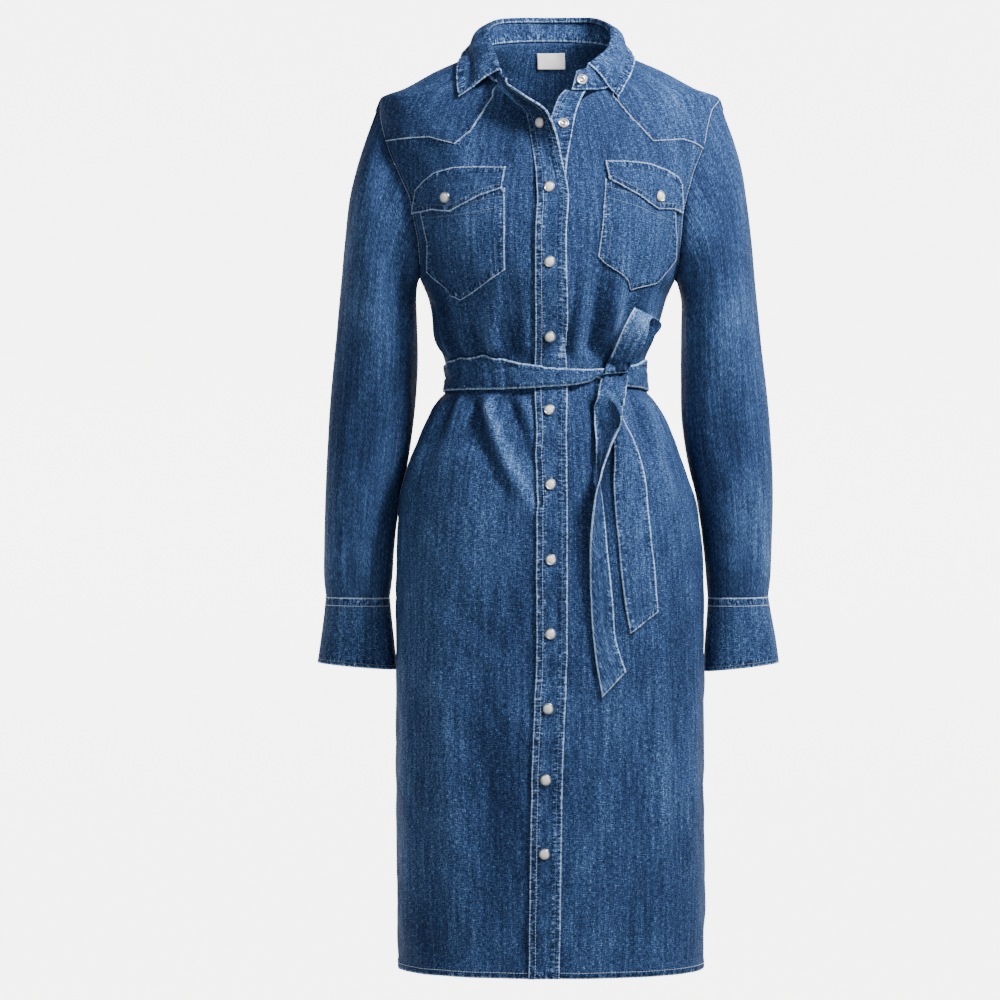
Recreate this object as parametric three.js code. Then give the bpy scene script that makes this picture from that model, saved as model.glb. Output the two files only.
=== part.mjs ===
// Denim western shirt dress, worn shape with no wearer, tied with its own sash.
// Millimetres, +Z up, X to the right as seen from the front, Y to the back.
// The origin is the middle of the neck, level with the shoulder points, where the wearer holds it.
// "Right" and "left" are the wearer's, so the right front is on the -X side.
import * as THREE from 'three';

// Driving sizes
const CLOTH = 1.4; // wall of one worn denim panel
const BAND = 2.0; // wall of doubled cloth: placket, sash and cuffs
const GAP = 0.35; // between pieces at their seams
const HEM_Z = -1015;
const HEM_FOLD = 12; // height of the folded hem
const HEM_RISE = 0.7; // how far the folded hem stands proud
const ARMPIT_Z = -244;
const SHOULDER_Z = -45;
const NECK_SIDE_Z = 12;
const VIEW_DISTANCE = 4000; // the outline tables below are sizes as seen from this far
const VIEW_HEIGHT = -493;
const VIEW_X = -56;
const PLACKET_WIDTH = 35;
const PLACKET_OVERLAP = 9; // how far the right front runs under its placket
const LEAD = 5; // how far the right front itself swings forward beside the open neck
const SNAP_RADIUS = 5.6;
const SNAP_HEIGHT = 2.4;

const COLOURS = { denim: 0x2f4a70, snap: 0xd9d6cc, label: 0xeceae6 };

// Horizontal sections of the body: half width, depth to front and back, and centre
const BODY = [
  { z: 40, centreX: -3, half: 48, front: 26, back: 47, centreY: 7, power: 2.0 },
  { z: 26, centreX: -3, half: 58, front: 33, back: 52, centreY: 6, power: 2.0 },
  { z: 12, centreX: -2, half: 71, front: 42, back: 58, centreY: 5, power: 2.0 },
  { z: -16, centreX: -1, half: 130, front: 57, back: 71, centreY: 4, power: 2.0 },
  { z: -45, centreX: 0, half: 190, front: 74, back: 84, centreY: 3, power: 2.0 },
  { z: -80, centreX: 0, half: 190, front: 89, back: 94, centreY: 2, power: 2.0 },
  { z: -120, centreX: 0, half: 182, front: 102, back: 99, centreY: 1, power: 2.0 },
  { z: -161, centreX: 0, half: 171, front: 113, back: 100, centreY: 0, power: 2.0 },
  { z: -205, centreX: -1, half: 157, front: 119, back: 98, centreY: 0, power: 2.05 },
  { z: -244, centreX: -3, half: 142, front: 117, back: 94, centreY: 0, power: 2.1 },
  { z: -269, centreX: -3, half: 131, front: 111, back: 90, centreY: 0, power: 2.1 },
  { z: -291, centreX: -4, half: 126, front: 104, back: 87, centreY: 0, power: 2.1 },
  { z: -314, centreX: -6, half: 120, front: 96, back: 84, centreY: 0, power: 2.1 },
  { z: -336, centreX: -7, half: 113, front: 90, back: 82, centreY: 0, power: 2.1 },
  { z: -358, centreX: -6, half: 112, front: 88, back: 82, centreY: 0, power: 2.1 },
  { z: -381, centreX: -5, half: 119, front: 91, back: 86, centreY: 0, power: 2.1 },
  { z: -403, centreX: -4, half: 132, front: 96, back: 94, centreY: 0, power: 2.1 },
  { z: -426, centreX: -4, half: 142, front: 100, back: 102, centreY: 0, power: 2.15 },
  { z: -448, centreX: -5, half: 151, front: 103, back: 108, centreY: 0, power: 2.15 },
  { z: -470, centreX: -4, half: 158, front: 105, back: 113, centreY: 0, power: 2.2 },
  { z: -493, centreX: -3, half: 164, front: 107, back: 117, centreY: 0, power: 2.2 },
  { z: -538, centreX: -1, half: 169, front: 109, back: 120, centreY: 0, power: 2.25 },
  { z: -605, centreX: 0, half: 171, front: 110, back: 120, centreY: 0, power: 2.25 },
  { z: -784, centreX: 0, half: 171, front: 110, back: 117, centreY: 0, power: 2.25 },
  { z: -941, centreX: 1, half: 171, front: 109, back: 113, centreY: 0, power: 2.25 },
  { z: -1015, centreX: 1, half: 169, front: 107, back: 110, centreY: 0, power: 2.25 },
];

// Armhole seam: distance out from the middle on the right front, the left front and the back
const ARMHOLE = [
  { z: -45, right: 190, left: 190, back: 190 },
  { z: -52, right: 189.6, left: 185, back: 188.5 },
  { z: -60, right: 189, left: 180, back: 187 },
  { z: -95, right: 182, left: 171, back: 180 },
  { z: -130, right: 168.5, left: 159, back: 169 },
  { z: -161, right: 156, left: 149, back: 160 },
  { z: -203, right: 147, left: 143, back: 151 },
  { z: -225, right: 143.5, left: 140.5, back: 145.5 },
  { z: -239, right: 142.5, left: 139.5, back: 142.8 },
  { z: -244, right: 143, left: 140, back: 142.5 },
];

// Neckline of the yokes: how far round from the front and how high
const NECKLINE = [
  { at: 8, z: -37.6 },
  { at: 16, z: -36.7 },
  { at: 19.6, z: -35.6 },
  { at: 33, z: -17 },
  { at: 51, z: -0.5 },
  { at: 71, z: 8.5 },
  { at: 90, z: 12 },
];
const NECK_BACK_Z = 26;

// Soft folds of the body. at and drift are degrees round from the front, drift is per 100 mm down.
const FOLDS = [
  { at: -66, drift: 2, top: -250, bottom: -338, width: 7, depth: 3.0 },
  { at: -48, drift: 1, top: -235, bottom: -338, width: 6, depth: 3.4 },
  { at: -29, drift: 0, top: -262, bottom: -338, width: 6, depth: 2.8 },
  { at: 20, drift: 3, top: -180, bottom: -338, width: 5, depth: -4.6 },
  { at: 30, drift: 3, top: -190, bottom: -338, width: 5, depth: 3.8 },
  { at: 44, drift: 5, top: -215, bottom: -338, width: 6, depth: -3.2 },
  { at: 63, drift: 4, top: -240, bottom: -338, width: 7, depth: 3.4 },
  { at: -62, drift: -3, top: -376, bottom: -520, width: 7, depth: 3.0 },
  { at: -27, drift: 15, top: -376, bottom: -640, width: 6, depth: 4.6 },
  { at: -14, drift: 8, top: -376, bottom: -520, width: 5, depth: -3.4 },
  { at: 24, drift: -2, top: -376, bottom: -610, width: 6, depth: -4.4 },
  { at: 58, drift: -4, top: -376, bottom: -500, width: 6, depth: 3.2 },
  { at: 42, drift: 1, top: -600, bottom: -940, width: 7, depth: 3.2 },
  { at: -44, drift: 2, top: -640, bottom: -990, width: 11, depth: 3.0 },
  { at: 112, drift: 2, top: -240, bottom: -338, width: 7, depth: 3.0 },
  { at: 136, drift: 1, top: -225, bottom: -338, width: 7, depth: 3.6 },
  { at: 160, drift: -1, top: -250, bottom: -338, width: 6, depth: 3.0 },
  { at: 200, drift: 1, top: -240, bottom: -338, width: 6, depth: 3.2 },
  { at: 226, drift: -1, top: -225, bottom: -338, width: 7, depth: 3.4 },
  { at: 250, drift: -2, top: -250, bottom: -338, width: 7, depth: 2.8 },
  { at: 124, drift: -4, top: -378, bottom: -560, width: 7, depth: 3.6 },
  { at: 152, drift: -3, top: -378, bottom: -640, width: 8, depth: 4.2 },
  { at: 186, drift: 0, top: -378, bottom: -520, width: 7, depth: 3.4 },
  { at: 214, drift: 3, top: -378, bottom: -660, width: 8, depth: 4.0 },
  { at: 240, drift: 4, top: -378, bottom: -540, width: 7, depth: 3.4 },
  { at: 164, drift: -2, top: -660, bottom: -990, width: 12, depth: 3.0 },
  { at: 206, drift: 2, top: -700, bottom: -990, width: 12, depth: 3.0 },
];

// Middle line of the button placket as seen
const PLACKET_LINE = [
  { z: -130, x: 3.2 },
  { z: -660, x: 3.2 },
  { z: -728, x: 0.4 },
  { z: -806, x: -2.4 },
  { z: -890, x: -3.8 },
  { z: -1030, x: -6 },
];

// The open neck, as seen. Seam is where the placket joins its front, edge is its free edge,
// and turn is how far the free edge has swung forward.
const RIGHT_OPENING = [
  { z: -30, seam: -51, edge: -48, turn: 33 },
  { z: -44, seam: -39, edge: -27, turn: 32 },
  { z: -59, seam: -26, edge: -4, turn: 27 },
  { z: -82, seam: -22, edge: 7, turn: 19 },
  { z: -107, seam: -18.5, edge: 13, turn: 10 },
  { z: -130, seam: -15.8, edge: 18, turn: 3 },
  { z: -150, seam: -14.7, edge: 21, turn: 0 },
];
const LEFT_OPENING = [
  { z: -30, seam: 44, edge: 25 },
  { z: -39, seam: 38, edge: 12 },
  { z: -59, seam: 30, edge: 3 },
  { z: -85, seam: 25, edge: -3 },
  { z: -114, seam: 20, edge: -5.5 },
  { z: -150, seam: 17, edge: -5.5 },
];

// Pointed western yoke seams as seen, from the armhole in to the neck
const RIGHT_YOKE_SEAM = [
  [-184, -92], [-158, -88.5], [-133, -87], [-105, -95], [-87, -79.5], [-63, -42], [-56.5, -28.6],
];
const LEFT_YOKE_SEAM = [
  [174, -101], [161, -94], [148, -89.5], [113, -92], [91, -67], [70, -42], [52, -27],
];
const BACK_YOKE = { side: -92, wing: -106, point: -130, wingAt: 0.5 };

// Chest pockets and their flaps as seen, each side listed from its start to its end
const RIGHT_POCKET = {
  top: [[-147, -165], [-96, -160], [-50, -152]],
  inner: [[-50, -152], [-50, -235]],
  bottom: [[-134, -238], [-116, -258], [-98, -270], [-75, -253], [-50, -235]],
  outer: [[-147, -165], [-137, -205], [-134, -238]],
  flapTop: [[-150, -146], [-139, -134], [-127, -126], [-106, -121], [-80, -120], [-49, -120.5]],
  flapInner: [[-49, -120.5], [-53, -145]],
  flapBottom: [[-152, -173], [-130, -169], [-110, -171], [-77, -153], [-53, -145]],
  flapOuter: [[-150, -146], [-152, -173]],
  snap: [-115, -154.5],
};
const LEFT_POCKET = {
  top: [[61, -142], [100, -152], [139, -170]],
  inner: [[61, -142], [58, -180], [53.5, -220]],
  bottom: [[53.5, -220], [85, -248], [91, -258], [117, -250], [137, -224]],
  outer: [[139, -170], [140, -200], [137, -224]],
  flapTop: [[61, -113], [86, -114], [109, -116.5], [129, -122.5], [142, -131], [146.5, -140]],
  flapInner: [[61, -113], [65, -135]],
  flapBottom: [[65, -135], [98, -153], [119, -168], [136, -168], [146.5, -172]],
  flapOuter: [[146.5, -140], [146.5, -172]],
  snap: [121, -153],
};

// Sleeves, from the armhole down: outer and inner edge of each section, its half depth, centre and swing
const RIGHT_SLEEVE = [
  { outX: 191.5, outZ: -46, inX: 145, inZ: -245, deep: 46, y: 2 },
  { outX: 199, outZ: -66, inX: 147.5, inZ: -252, deep: 54, y: 3 },
  { outX: 208, outZ: -92, inX: 149, inZ: -261, deep: 58, y: 4 },
  { outX: 217, outZ: -122, inX: 149.5, inZ: -272, deep: 60, y: 5 },
  { outX: 225, outZ: -157, inX: 149, inZ: -286, deep: 60, y: 6 },
  { outX: 230, outZ: -202, inX: 148.5, inZ: -304, deep: 59, y: 7 },
  { outX: 235, outZ: -258, inX: 148, inZ: -328, deep: 57, y: 9 },
  { outX: 241, outZ: -322, inX: 149, inZ: -362, deep: 55, y: 11 },
  { outX: 246.5, outZ: -381, inX: 152.5, inZ: -402, deep: 52, y: 14 },
  { outX: 250, outZ: -434, inX: 158.5, inZ: -444, deep: 50, y: 17 },
  { outX: 252.5, outZ: -487, inX: 168, inZ: -491, deep: 47, y: 21 },
  { outX: 254, outZ: -540, inX: 174.5, inZ: -542, deep: 45, y: 24 },
  { outX: 254.5, outZ: -576, inX: 177, inZ: -577, deep: 44, y: 26 },
  { outX: 252.5, outZ: -601.1, inX: 180, inZ: -602.1, deep: 41, y: 27 },
];
const RIGHT_CUFF = [
  { outX: 252.5, outZ: -601.5, inX: 180, inZ: -602.5, deep: 41, y: 27 },
  { outX: 254.5, outZ: -622, inX: 178, inZ: -624, deep: 42, y: 28 },
  { outX: 258, outZ: -648, inX: 175, inZ: -652, deep: 43.5, y: 30 },
  { outX: 262, outZ: -676, inX: 172, inZ: -684, deep: 45, y: 32 },
];
const LEFT_SLEEVE = [
  { outX: 191.5, outZ: -46, inX: 145, inZ: -245, deep: 46, y: 2 },
  { outX: 198, outZ: -66, inX: 146.5, inZ: -252, deep: 54, y: 3 },
  { outX: 207, outZ: -92, inX: 147.5, inZ: -261, deep: 58, y: 4 },
  { outX: 215, outZ: -122, inX: 148, inZ: -272, deep: 60, y: 5 },
  { outX: 220.5, outZ: -157, inX: 147.5, inZ: -286, deep: 60, y: 6 },
  { outX: 226, outZ: -202, inX: 147, inZ: -304, deep: 59, y: 7 },
  { outX: 231, outZ: -258, inX: 147, inZ: -328, deep: 57, y: 9 },
  { outX: 237.5, outZ: -322, inX: 147, inZ: -362, deep: 55, y: 11 },
  { outX: 244.5, outZ: -381, inX: 148, inZ: -402, deep: 53, y: 14 },
  { outX: 249, outZ: -434, inX: 154, inZ: -444, deep: 51, y: 17 },
  { outX: 251, outZ: -487, inX: 165, inZ: -491, deep: 48, y: 21 },
  { outX: 250, outZ: -540, inX: 172.5, inZ: -542, deep: 45, y: 24 },
  { outX: 249, outZ: -576, inX: 176, inZ: -577, deep: 44, y: 26 },
  { outX: 246.5, outZ: -601.1, inX: 178, inZ: -602.1, deep: 41, y: 27 },
];
const LEFT_CUFF = [
  { outX: 246.5, outZ: -601.5, inX: 178, inZ: -602.5, deep: 41, y: 27 },
  { outX: 250, outZ: -622, inX: 177, inZ: -624, deep: 42, y: 28 },
  { outX: 255, outZ: -648, inX: 175, inZ: -652, deep: 43.5, y: 30 },
  { outX: 259, outZ: -676, inX: 173, inZ: -686, deep: 45, y: 32 },
];
// Soft creases of a sleeve. at is degrees round from the outer edge, over the front.
const SLEEVE_FOLDS = [
  { at: 70, drift: 30, top: -250, bottom: -420, width: 20, depth: 3.4 },
  { at: 110, drift: -22, top: -330, bottom: -480, width: 18, depth: -3.0 },
  { at: 60, drift: -10, top: -430, bottom: -600, width: 20, depth: 3.0 },
  { at: 250, drift: 12, top: -280, bottom: -460, width: 24, depth: 3.2 },
  { at: 290, drift: -12, top: -440, bottom: -600, width: 22, depth: -2.8 },
];

// Collar from the wearer's right front round the back to the left front. at is how far round the
// neckline, roll is the top line of the stand, edge is the outer edge of the leaf.
// The first and last rows are the ends of the stand, which run past the leaf.
const COLLAR = [
  { at: -18, roll: [-46, -99, -28] },
  { at: -19.4, roll: [-56, -76, -19.5], edge: [-103, -67, -48] },
  { at: -28, roll: [-61, -54, -5], edge: [-103, -50, -37] },
  { at: -42, roll: [-66, -34, 10], edge: [-101, -25, -13] },
  { at: -90, roll: [-70, 2, 35], edge: [-97, 6, 9] },
  { at: -128, roll: [-58, 40, 49], edge: [-77, 60, 9] },
  { at: -153, roll: [-32, 57, 54], edge: [-44, 82, 8] },
  { at: -180, roll: [-3, 62, 55], edge: [-3, 88, 8] },
  { at: -207, roll: [26, 57, 54], edge: [38, 82, 8] },
  { at: -232, roll: [52, 40, 50], edge: [71, 60, 9] },
  { at: -270, roll: [67.5, 2, 34], edge: [91, 6, 9] },
  { at: -318, roll: [65, -32, 8], edge: [90.5, -24, -14] },
  { at: -334, roll: [52, -55, -6], edge: [83, -52, -37] },
  { at: -344, roll: [41, -65, -15], edge: [76.6, -70, -51] },
  { at: -351.4, roll: [25.5, -70, -20.5] },
];
const STAND_GAP = 1.7; // between the stand and the neckline below it
const STAND_THICK = 1.8;
const LEAF_THICK = 1.8;
const LEAF_BULGE = 5; // how far the leaf rounds out between its roll and its edge
const LEAF_STRAIGHT = 0.1; // share of the leaf at each end over which its bulge shrinks
const COLLAR_CLEAR = 4; // how far the leaf stays off the shoulders

// The sash as seen: height of its edges round the waist, in degrees from the front
const SASH = [
  { at: -90, top: -337, bottom: -375 },
  { at: -60, top: -335, bottom: -374 },
  { at: -30, top: -336, bottom: -372 },
  { at: -8, top: -343, bottom: -370 },
  { at: 12, top: -350, bottom: -369 },
  { at: 36, top: -348, bottom: -368 },
  { at: 56, top: -337, bottom: -371 },
  { at: 90, top: -335, bottom: -375 },
  { at: 135, top: -337, bottom: -377 },
  { at: 180, top: -338, bottom: -378 },
  { at: 225, top: -337, bottom: -377 },
  { at: 270, top: -337, bottom: -375 },
];
const KNOT = { x: 78, z: -340.5, wide: 18, high: 12.5, deep: 9.5, tilt: 34 };
// Tails and loop: the two long edges of each strip as seen, and how far each edge stands off the dress
const LONG_TAIL = [
  { za: -358.7, zb: -356.6, xa: 56, xb: 86, offA: 11.5, offB: 11.5 },
  { za: -375, zb: -375, xa: 53.8, xb: 84.4, offA: 10.5, offB: 12 },
  { za: -403, zb: -403, xa: 52.6, xb: 77.8, offA: 9, offB: 19 },
  { za: -437, zb: -437, xa: 53.2, xb: 67.8, offA: 8, offB: 24 },
  { za: -465, zb: -465, xa: 54.9, xb: 58.8, offA: 7.5, offB: 26 },
  { za: -493, zb: -493, xa: 59.4, xb: 49.8, offA: 7, offB: 21 },
  { za: -543, zb: -543, xa: 64.4, xb: 44.5, offA: 6.5, offB: 13 },
  { za: -605, zb: -612, xa: 70, xb: 45.5, offA: 6, offB: 7 },
  { za: -650, zb: -664, xa: 74, xb: 49.8, offA: 5.5, offB: 5.2 },
  { za: -685, zb: -714, xa: 85, xb: 58.2, offA: 5, offB: 5 },
];
const SHORT_TAIL = [
  { za: -366, zb: -364, xa: 66, xb: 74, offA: 7.4, offB: 7.4 },
  { za: -396, zb: -396, xa: 69, xb: 79, offA: 4.2, offB: 4.4 },
  { za: -426, zb: -426, xa: 71.7, xb: 94, offA: 4, offB: 4.4 },
  { za: -454, zb: -454, xa: 72.5, xb: 103.6, offA: 4, offB: 4.6 },
  { za: -493, zb: -493, xa: 73.5, xb: 109.2, offA: 3.6, offB: 4 },
  { za: -540, zb: -538, xa: 77, xb: 113.3, offA: 3.4, offB: 3.6 },
  { za: -590, zb: -580, xa: 81.2, xb: 118.2, offA: 3.2, offB: 3.4 },
  { za: -643, zb: -618, xa: 89.6, xb: 120.4, offA: 3.2, offB: 3.2 },
];
const TAIL_THICK = 1.6;
// The loop of the half bow: its edges from the knot, up the front layer, over and back down
const LOOP = [
  { a: [65.4, -84.8, -337], b: [87.6, -86.4, -343] },
  { a: [74.1, -95, -315.8], b: [100.3, -95, -325.5] },
  { a: [81.7, -99, -299.4], b: [105.8, -99, -310.3] },
  { a: [88.3, -97, -287.3], b: [108, -96.5, -297.1] },
  { a: [90.8, -92.5, -283.2], b: [113, -91.5, -294] },
  { a: [90.7, -87, -285.9], b: [121.3, -86, -301.2] },
  { a: [84.2, -84.5, -306.7], b: [112.6, -82.5, -314.3] },
  { a: [77.5, -84, -323.1], b: [99.4, -82, -328.6] },
];
const LABEL = { x: 4, z: 5, wide: 31, high: 20, thick: 1.0, gap: 1.1 };
const FRONT_SNAPS_Z = [-143, -226, -309, -393, -476, -560, -643, -726, -806, -889];

// Smooth value of one column of a table between its rows, with no overshoot
function sample(table, key, column, at) {
  const rising = table[1][key] > table[0][key];
  const rows = rising ? table : [...table].reverse();
  const n = rows.length;
  if (at <= rows[0][key]) return rows[0][column];
  if (at >= rows[n - 1][key]) return rows[n - 1][column];
  let i = 0;
  while (rows[i + 1][key] < at) i += 1;
  const slope = (k) => (rows[k + 1][column] - rows[k][column]) / (rows[k + 1][key] - rows[k][key]);
  const tangent = (k) => {
    if (k === 0) return slope(0);
    if (k === n - 1) return slope(n - 2);
    const before = slope(k - 1);
    const after = slope(k);
    return before * after <= 0 ? 0 : (2 * before * after) / (before + after);
  };
  const step = rows[i + 1][key] - rows[i][key];
  const t = (at - rows[i][key]) / step;
  const rise = rows[i + 1][column] - rows[i][column];
  const a = tangent(i) * step - rise;
  const b = rise - tangent(i + 1) * step;
  return rows[i][column] + t * rise + t * (1 - t) * (a * (1 - t) + b * t);
}

const clamp = (x, low, high) => Math.min(high, Math.max(low, x));
const mix = (a, b, t) => a + (b - a) * t;
const smooth = (t) => {
  const s = clamp(t, 0, 1);
  return s * s * (3 - 2 * s);
};
const radians = THREE.MathUtils.degToRad;
const signedPower = (x, p) => Math.sign(x) * Math.abs(x) ** p;

function section(z) {
  const at = clamp(z, HEM_Z, 40);
  const get = (column) => sample(BODY, 'z', column, at);
  return {
    centreX: get('centreX'), half: get('half'), front: get('front'), back: get('back'),
    centreY: get('centreY'), power: get('power'),
  };
}

// How far the folds move the body's wall out at an angle and height
function foldAt(angle, z) {
  let sum = 0;
  for (const f of FOLDS) {
    if (z > f.top || z < f.bottom) continue;
    const line = f.at + (f.drift * (f.top - z)) / 100;
    let away = ((THREE.MathUtils.radToDeg(angle) - line + 540) % 360) - 180;
    away /= f.width * 1.25;
    const waistward = f.top > -360 ? (f.top - z) / (f.top - f.bottom) : (z - f.bottom) / (f.top - f.bottom);
    const endFade = smooth(Math.min(z - f.bottom, f.top - z) / 22);
    const free = f.top < -590 ? Math.sin(Math.PI * waistward) : 0.25 + 0.75 * waistward;
    sum += f.depth * Math.exp(-away * away) * endFade * free;
  }
  return sum;
}

// The body's cloth, before it has a thickness
function skin(angle, z, turned) {
  const s = section(z);
  const sin = Math.sin(angle);
  const cos = Math.cos(angle);
  const depth = cos > 0 ? s.front : s.back;
  const p = 2 / s.power;
  const x = s.centreX + s.half * signedPower(sin, p);
  let y = s.centreY - depth * signedPower(cos, p);
  if (turned) y -= turnAt(x, z);
  const fold = foldAt(angle, z);
  return new THREE.Vector3(x + fold * sin, y - fold * cos, z);
}

// A distance across as seen, brought to where it really is
const placed = (x, near) => VIEW_X + (x - VIEW_X) * near;

// How far the open right front has swung forward near its edge
function turnAt(x, z) {
  const at = view(z);
  const seam = placed(opening(RIGHT_OPENING, 'seam', at.z), at.near);
  const edge = placed(opening(RIGHT_OPENING, 'edge', at.z), at.near);
  const turn = opening(RIGHT_OPENING, 'turn', at.z);
  const across = (x - seam) / Math.max(edge - seam, 3);
  const lead = LEAD * smooth((x - seam + 34) / 34) * (turn / 33);
  return lead + turn * clamp(across, 0, 1.1);
}

function normalAt(angle, z, turned = false) {
  const e = 0.01;
  const h = 1.5;
  const round = skin(angle + e, z, turned).sub(skin(angle - e, z, turned));
  const up = skin(angle, z + h, turned).sub(skin(angle, z - h, turned));
  return round.cross(up).normalize();
}

// A point of the body's cloth, lifted off along its normal
function onBody(angle, z, lift, turned = false) {
  return skin(angle, z, turned).addScaledVector(normalAt(angle, z, turned), lift);
}

function angleOf(x, z) {
  const s = section(z);
  const share = clamp((x - s.centreX) / s.half, -1, 1);
  return Math.asin(signedPower(share, s.power / 2));
}

// A point of the front given as seen, brought to where the cloth really lies
function seen(x, z) {
  let px = x;
  let pz = z;
  for (let i = 0; i < 3; i += 1) {
    const near = (VIEW_DISTANCE + skin(angleOf(px, pz), pz, false).y) / VIEW_DISTANCE;
    px = placed(x, near);
    pz = VIEW_HEIGHT + (z - VIEW_HEIGHT) * near;
  }
  return [angleOf(px, pz), pz];
}

// Points along a chain of points, evenly by length, as a function of 0 to 1
function chain(points) {
  const along = [0];
  for (let i = 1; i < points.length; i += 1) {
    const [ax, az] = points[i - 1];
    const [bx, bz] = points[i];
    along.push(along[i - 1] + Math.hypot(bx - ax, bz - az));
  }
  return (t) => {
    const d = t * along[along.length - 1];
    let i = 1;
    while (i < points.length - 1 && along[i] < d) i += 1;
    const s = clamp((d - along[i - 1]) / (along[i] - along[i - 1]), 0, 1);
    return [mix(points[i - 1][0], points[i][0], s), mix(points[i - 1][1], points[i][1], s)];
  };
}

// A four-sided patch between its bottom, top, left and right sides
function patch(bottom, top, left, right) {
  return (u, v) => [0, 1].map((k) => (
    mix(bottom(u)[k], top(u)[k], v) + mix(left(v)[k], right(v)[k], u)
    - mix(mix(bottom(0)[k], bottom(1)[k], u), mix(top(0)[k], top(1)[k], u), v)
  ));
}

// A closed wall: pointAt(row, column, layer) gives its inner (0) and outer (1) face.
// A ring is closed from its last column back to its first.
function wall(rows, columns, pointAt, ring = false) {
  const positions = [];
  const faces = [];
  const id = (i, j, k) => (k * rows + i) * columns + (ring ? j % columns : j);
  for (let k = 0; k < 2; k += 1) {
    for (let i = 0; i < rows; i += 1) {
      for (let j = 0; j < columns; j += 1) positions.push(...pointAt(i, j, k).toArray());
    }
  }
  const quad = (a, b, c, d) => faces.push(a, b, c, a, c, d);
  const spans = ring ? columns : columns - 1;
  for (let j = 0; j < spans; j += 1) {
    for (let i = 0; i < rows - 1; i += 1) {
      quad(id(i, j, 1), id(i, j + 1, 1), id(i + 1, j + 1, 1), id(i + 1, j, 1));
      quad(id(i, j, 0), id(i + 1, j, 0), id(i + 1, j + 1, 0), id(i, j + 1, 0));
    }
    quad(id(0, j, 0), id(0, j + 1, 0), id(0, j + 1, 1), id(0, j, 1));
    const last = rows - 1;
    quad(id(last, j, 1), id(last, j + 1, 1), id(last, j + 1, 0), id(last, j, 0));
  }
  if (!ring) {
    for (let i = 0; i < rows - 1; i += 1) {
      const last = columns - 1;
      quad(id(i, 0, 0), id(i, 0, 1), id(i + 1, 0, 1), id(i + 1, 0, 0));
      quad(id(i, last, 1), id(i, last, 0), id(i + 1, last, 0), id(i + 1, last, 1));
    }
  }
  return facingOut(positions, faces);
}

function facingOut(positions, faces) {
  const p = (i) => new THREE.Vector3(...positions.slice(3 * i, 3 * i + 3));
  let volume = 0;
  for (let i = 0; i < faces.length; i += 3) {
    volume += p(faces[i]).dot(p(faces[i + 1]).cross(p(faces[i + 2])));
  }
  if (volume < 0) faces.reverse();
  const geometry = new THREE.BufferGeometry();
  geometry.setAttribute('position', new THREE.Float32BufferAttribute(positions, 3));
  geometry.setIndex(faces);
  geometry.computeVertexNormals();
  return geometry;
}

const dress = new THREE.Group();
const materials = Object.fromEntries(Object.entries(COLOURS).map(([name, color]) => [
  name, new THREE.MeshStandardMaterial({ color, roughness: 0.85, metalness: name === 'snap' ? 0.3 : 0 }),
]));

function piece(name, geometry, material = 'denim') {
  const mesh = new THREE.Mesh(geometry, materials[material]);
  mesh.name = name;
  dress.add(mesh);
  return mesh;
}

// Rows of the fronts and the back from the hem up to the chest, closer together at the waist
const SLEEVE_COLUMNS = 20;
const armholeZ = (k) => mix(SHOULDER_Z, ARMPIT_Z, (1 - Math.cos((2 * Math.PI * k) / SLEEVE_COLUMNS)) / 2);
const LOW_ROWS = [
  -1015, -1003, -1001, -940, -870, -800, -730, -665, -605, -552, -510, -478, -450, -426,
  -406, -388, -374, -358, -342, -330, -312, -292, -272, -257, ...[10, 9, 8, 7, 6].map(armholeZ),
];
const CHEST_ROWS = 8;
const FRONT_COLUMNS = 13;
const BACK_COLUMNS = 19;

function hemRise(z) {
  return z < HEM_Z + HEM_FOLD + 0.5 ? HEM_RISE : 0;
}

// How far round from the middle of the front or back the armhole seam lies
function armholeAngle(z, side, onBack) {
  if (z <= ARMPIT_Z) return Math.PI / 2;
  const s = section(z);
  const column = onBack ? 'back' : { '-1': 'right', 1: 'left' }[side];
  const out = sample(ARMHOLE, 'z', column, clamp(z, -244, -45));
  const share = clamp((out - (onBack ? 0 : side * s.centreX)) / s.half, 0, 1);
  return Math.asin(share ** (s.power / 2));
}

// The height and nearness at which a real height of the front's middle is seen
function view(z) {
  const near = (VIEW_DISTANCE + skin(0, z, false).y) / VIEW_DISTANCE;
  return { near, z: VIEW_HEIGHT + (z - VIEW_HEIGHT) / near };
}
// Turns an edge given as seen into angles on the body at real heights
const edgeAngle = (edge) => (z) => {
  const at = view(z);
  return angleOf(placed(edge(at.z), at.near), z);
};
const placketX = (z) => sample(PLACKET_LINE, 'z', 'x', clamp(z, -1030, -130));
const opening = (table, column, z) => sample(table, 'z', column, clamp(z, -150, -30));
const eased = (z) => smooth((z + 200) / 50);

// Where each front and each half of the placket ends, as seen
const rightFrontEdge = (z) => mix(
  placketX(z) - PLACKET_WIDTH / 2 + PLACKET_OVERLAP,
  opening(RIGHT_OPENING, 'seam', z) - mix(1.6, 5, smooth((z + 75) / 25)),
  eased(z),
);
const leftFrontEdge = (z) => mix(placketX(z) + 14, opening(LEFT_OPENING, 'seam', z), eased(z));
const underEdge = (z) => mix(placketX(z) - 7.9, opening(LEFT_OPENING, 'edge', z), eased(z));
const placketSeam = (z) => mix(placketX(z) - PLACKET_WIDTH / 2, opening(RIGHT_OPENING, 'seam', z), eased(z));
const placketEdge = (z) => mix(placketX(z) + PLACKET_WIDTH / 2, opening(RIGHT_OPENING, 'edge', z), eased(z));

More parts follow.
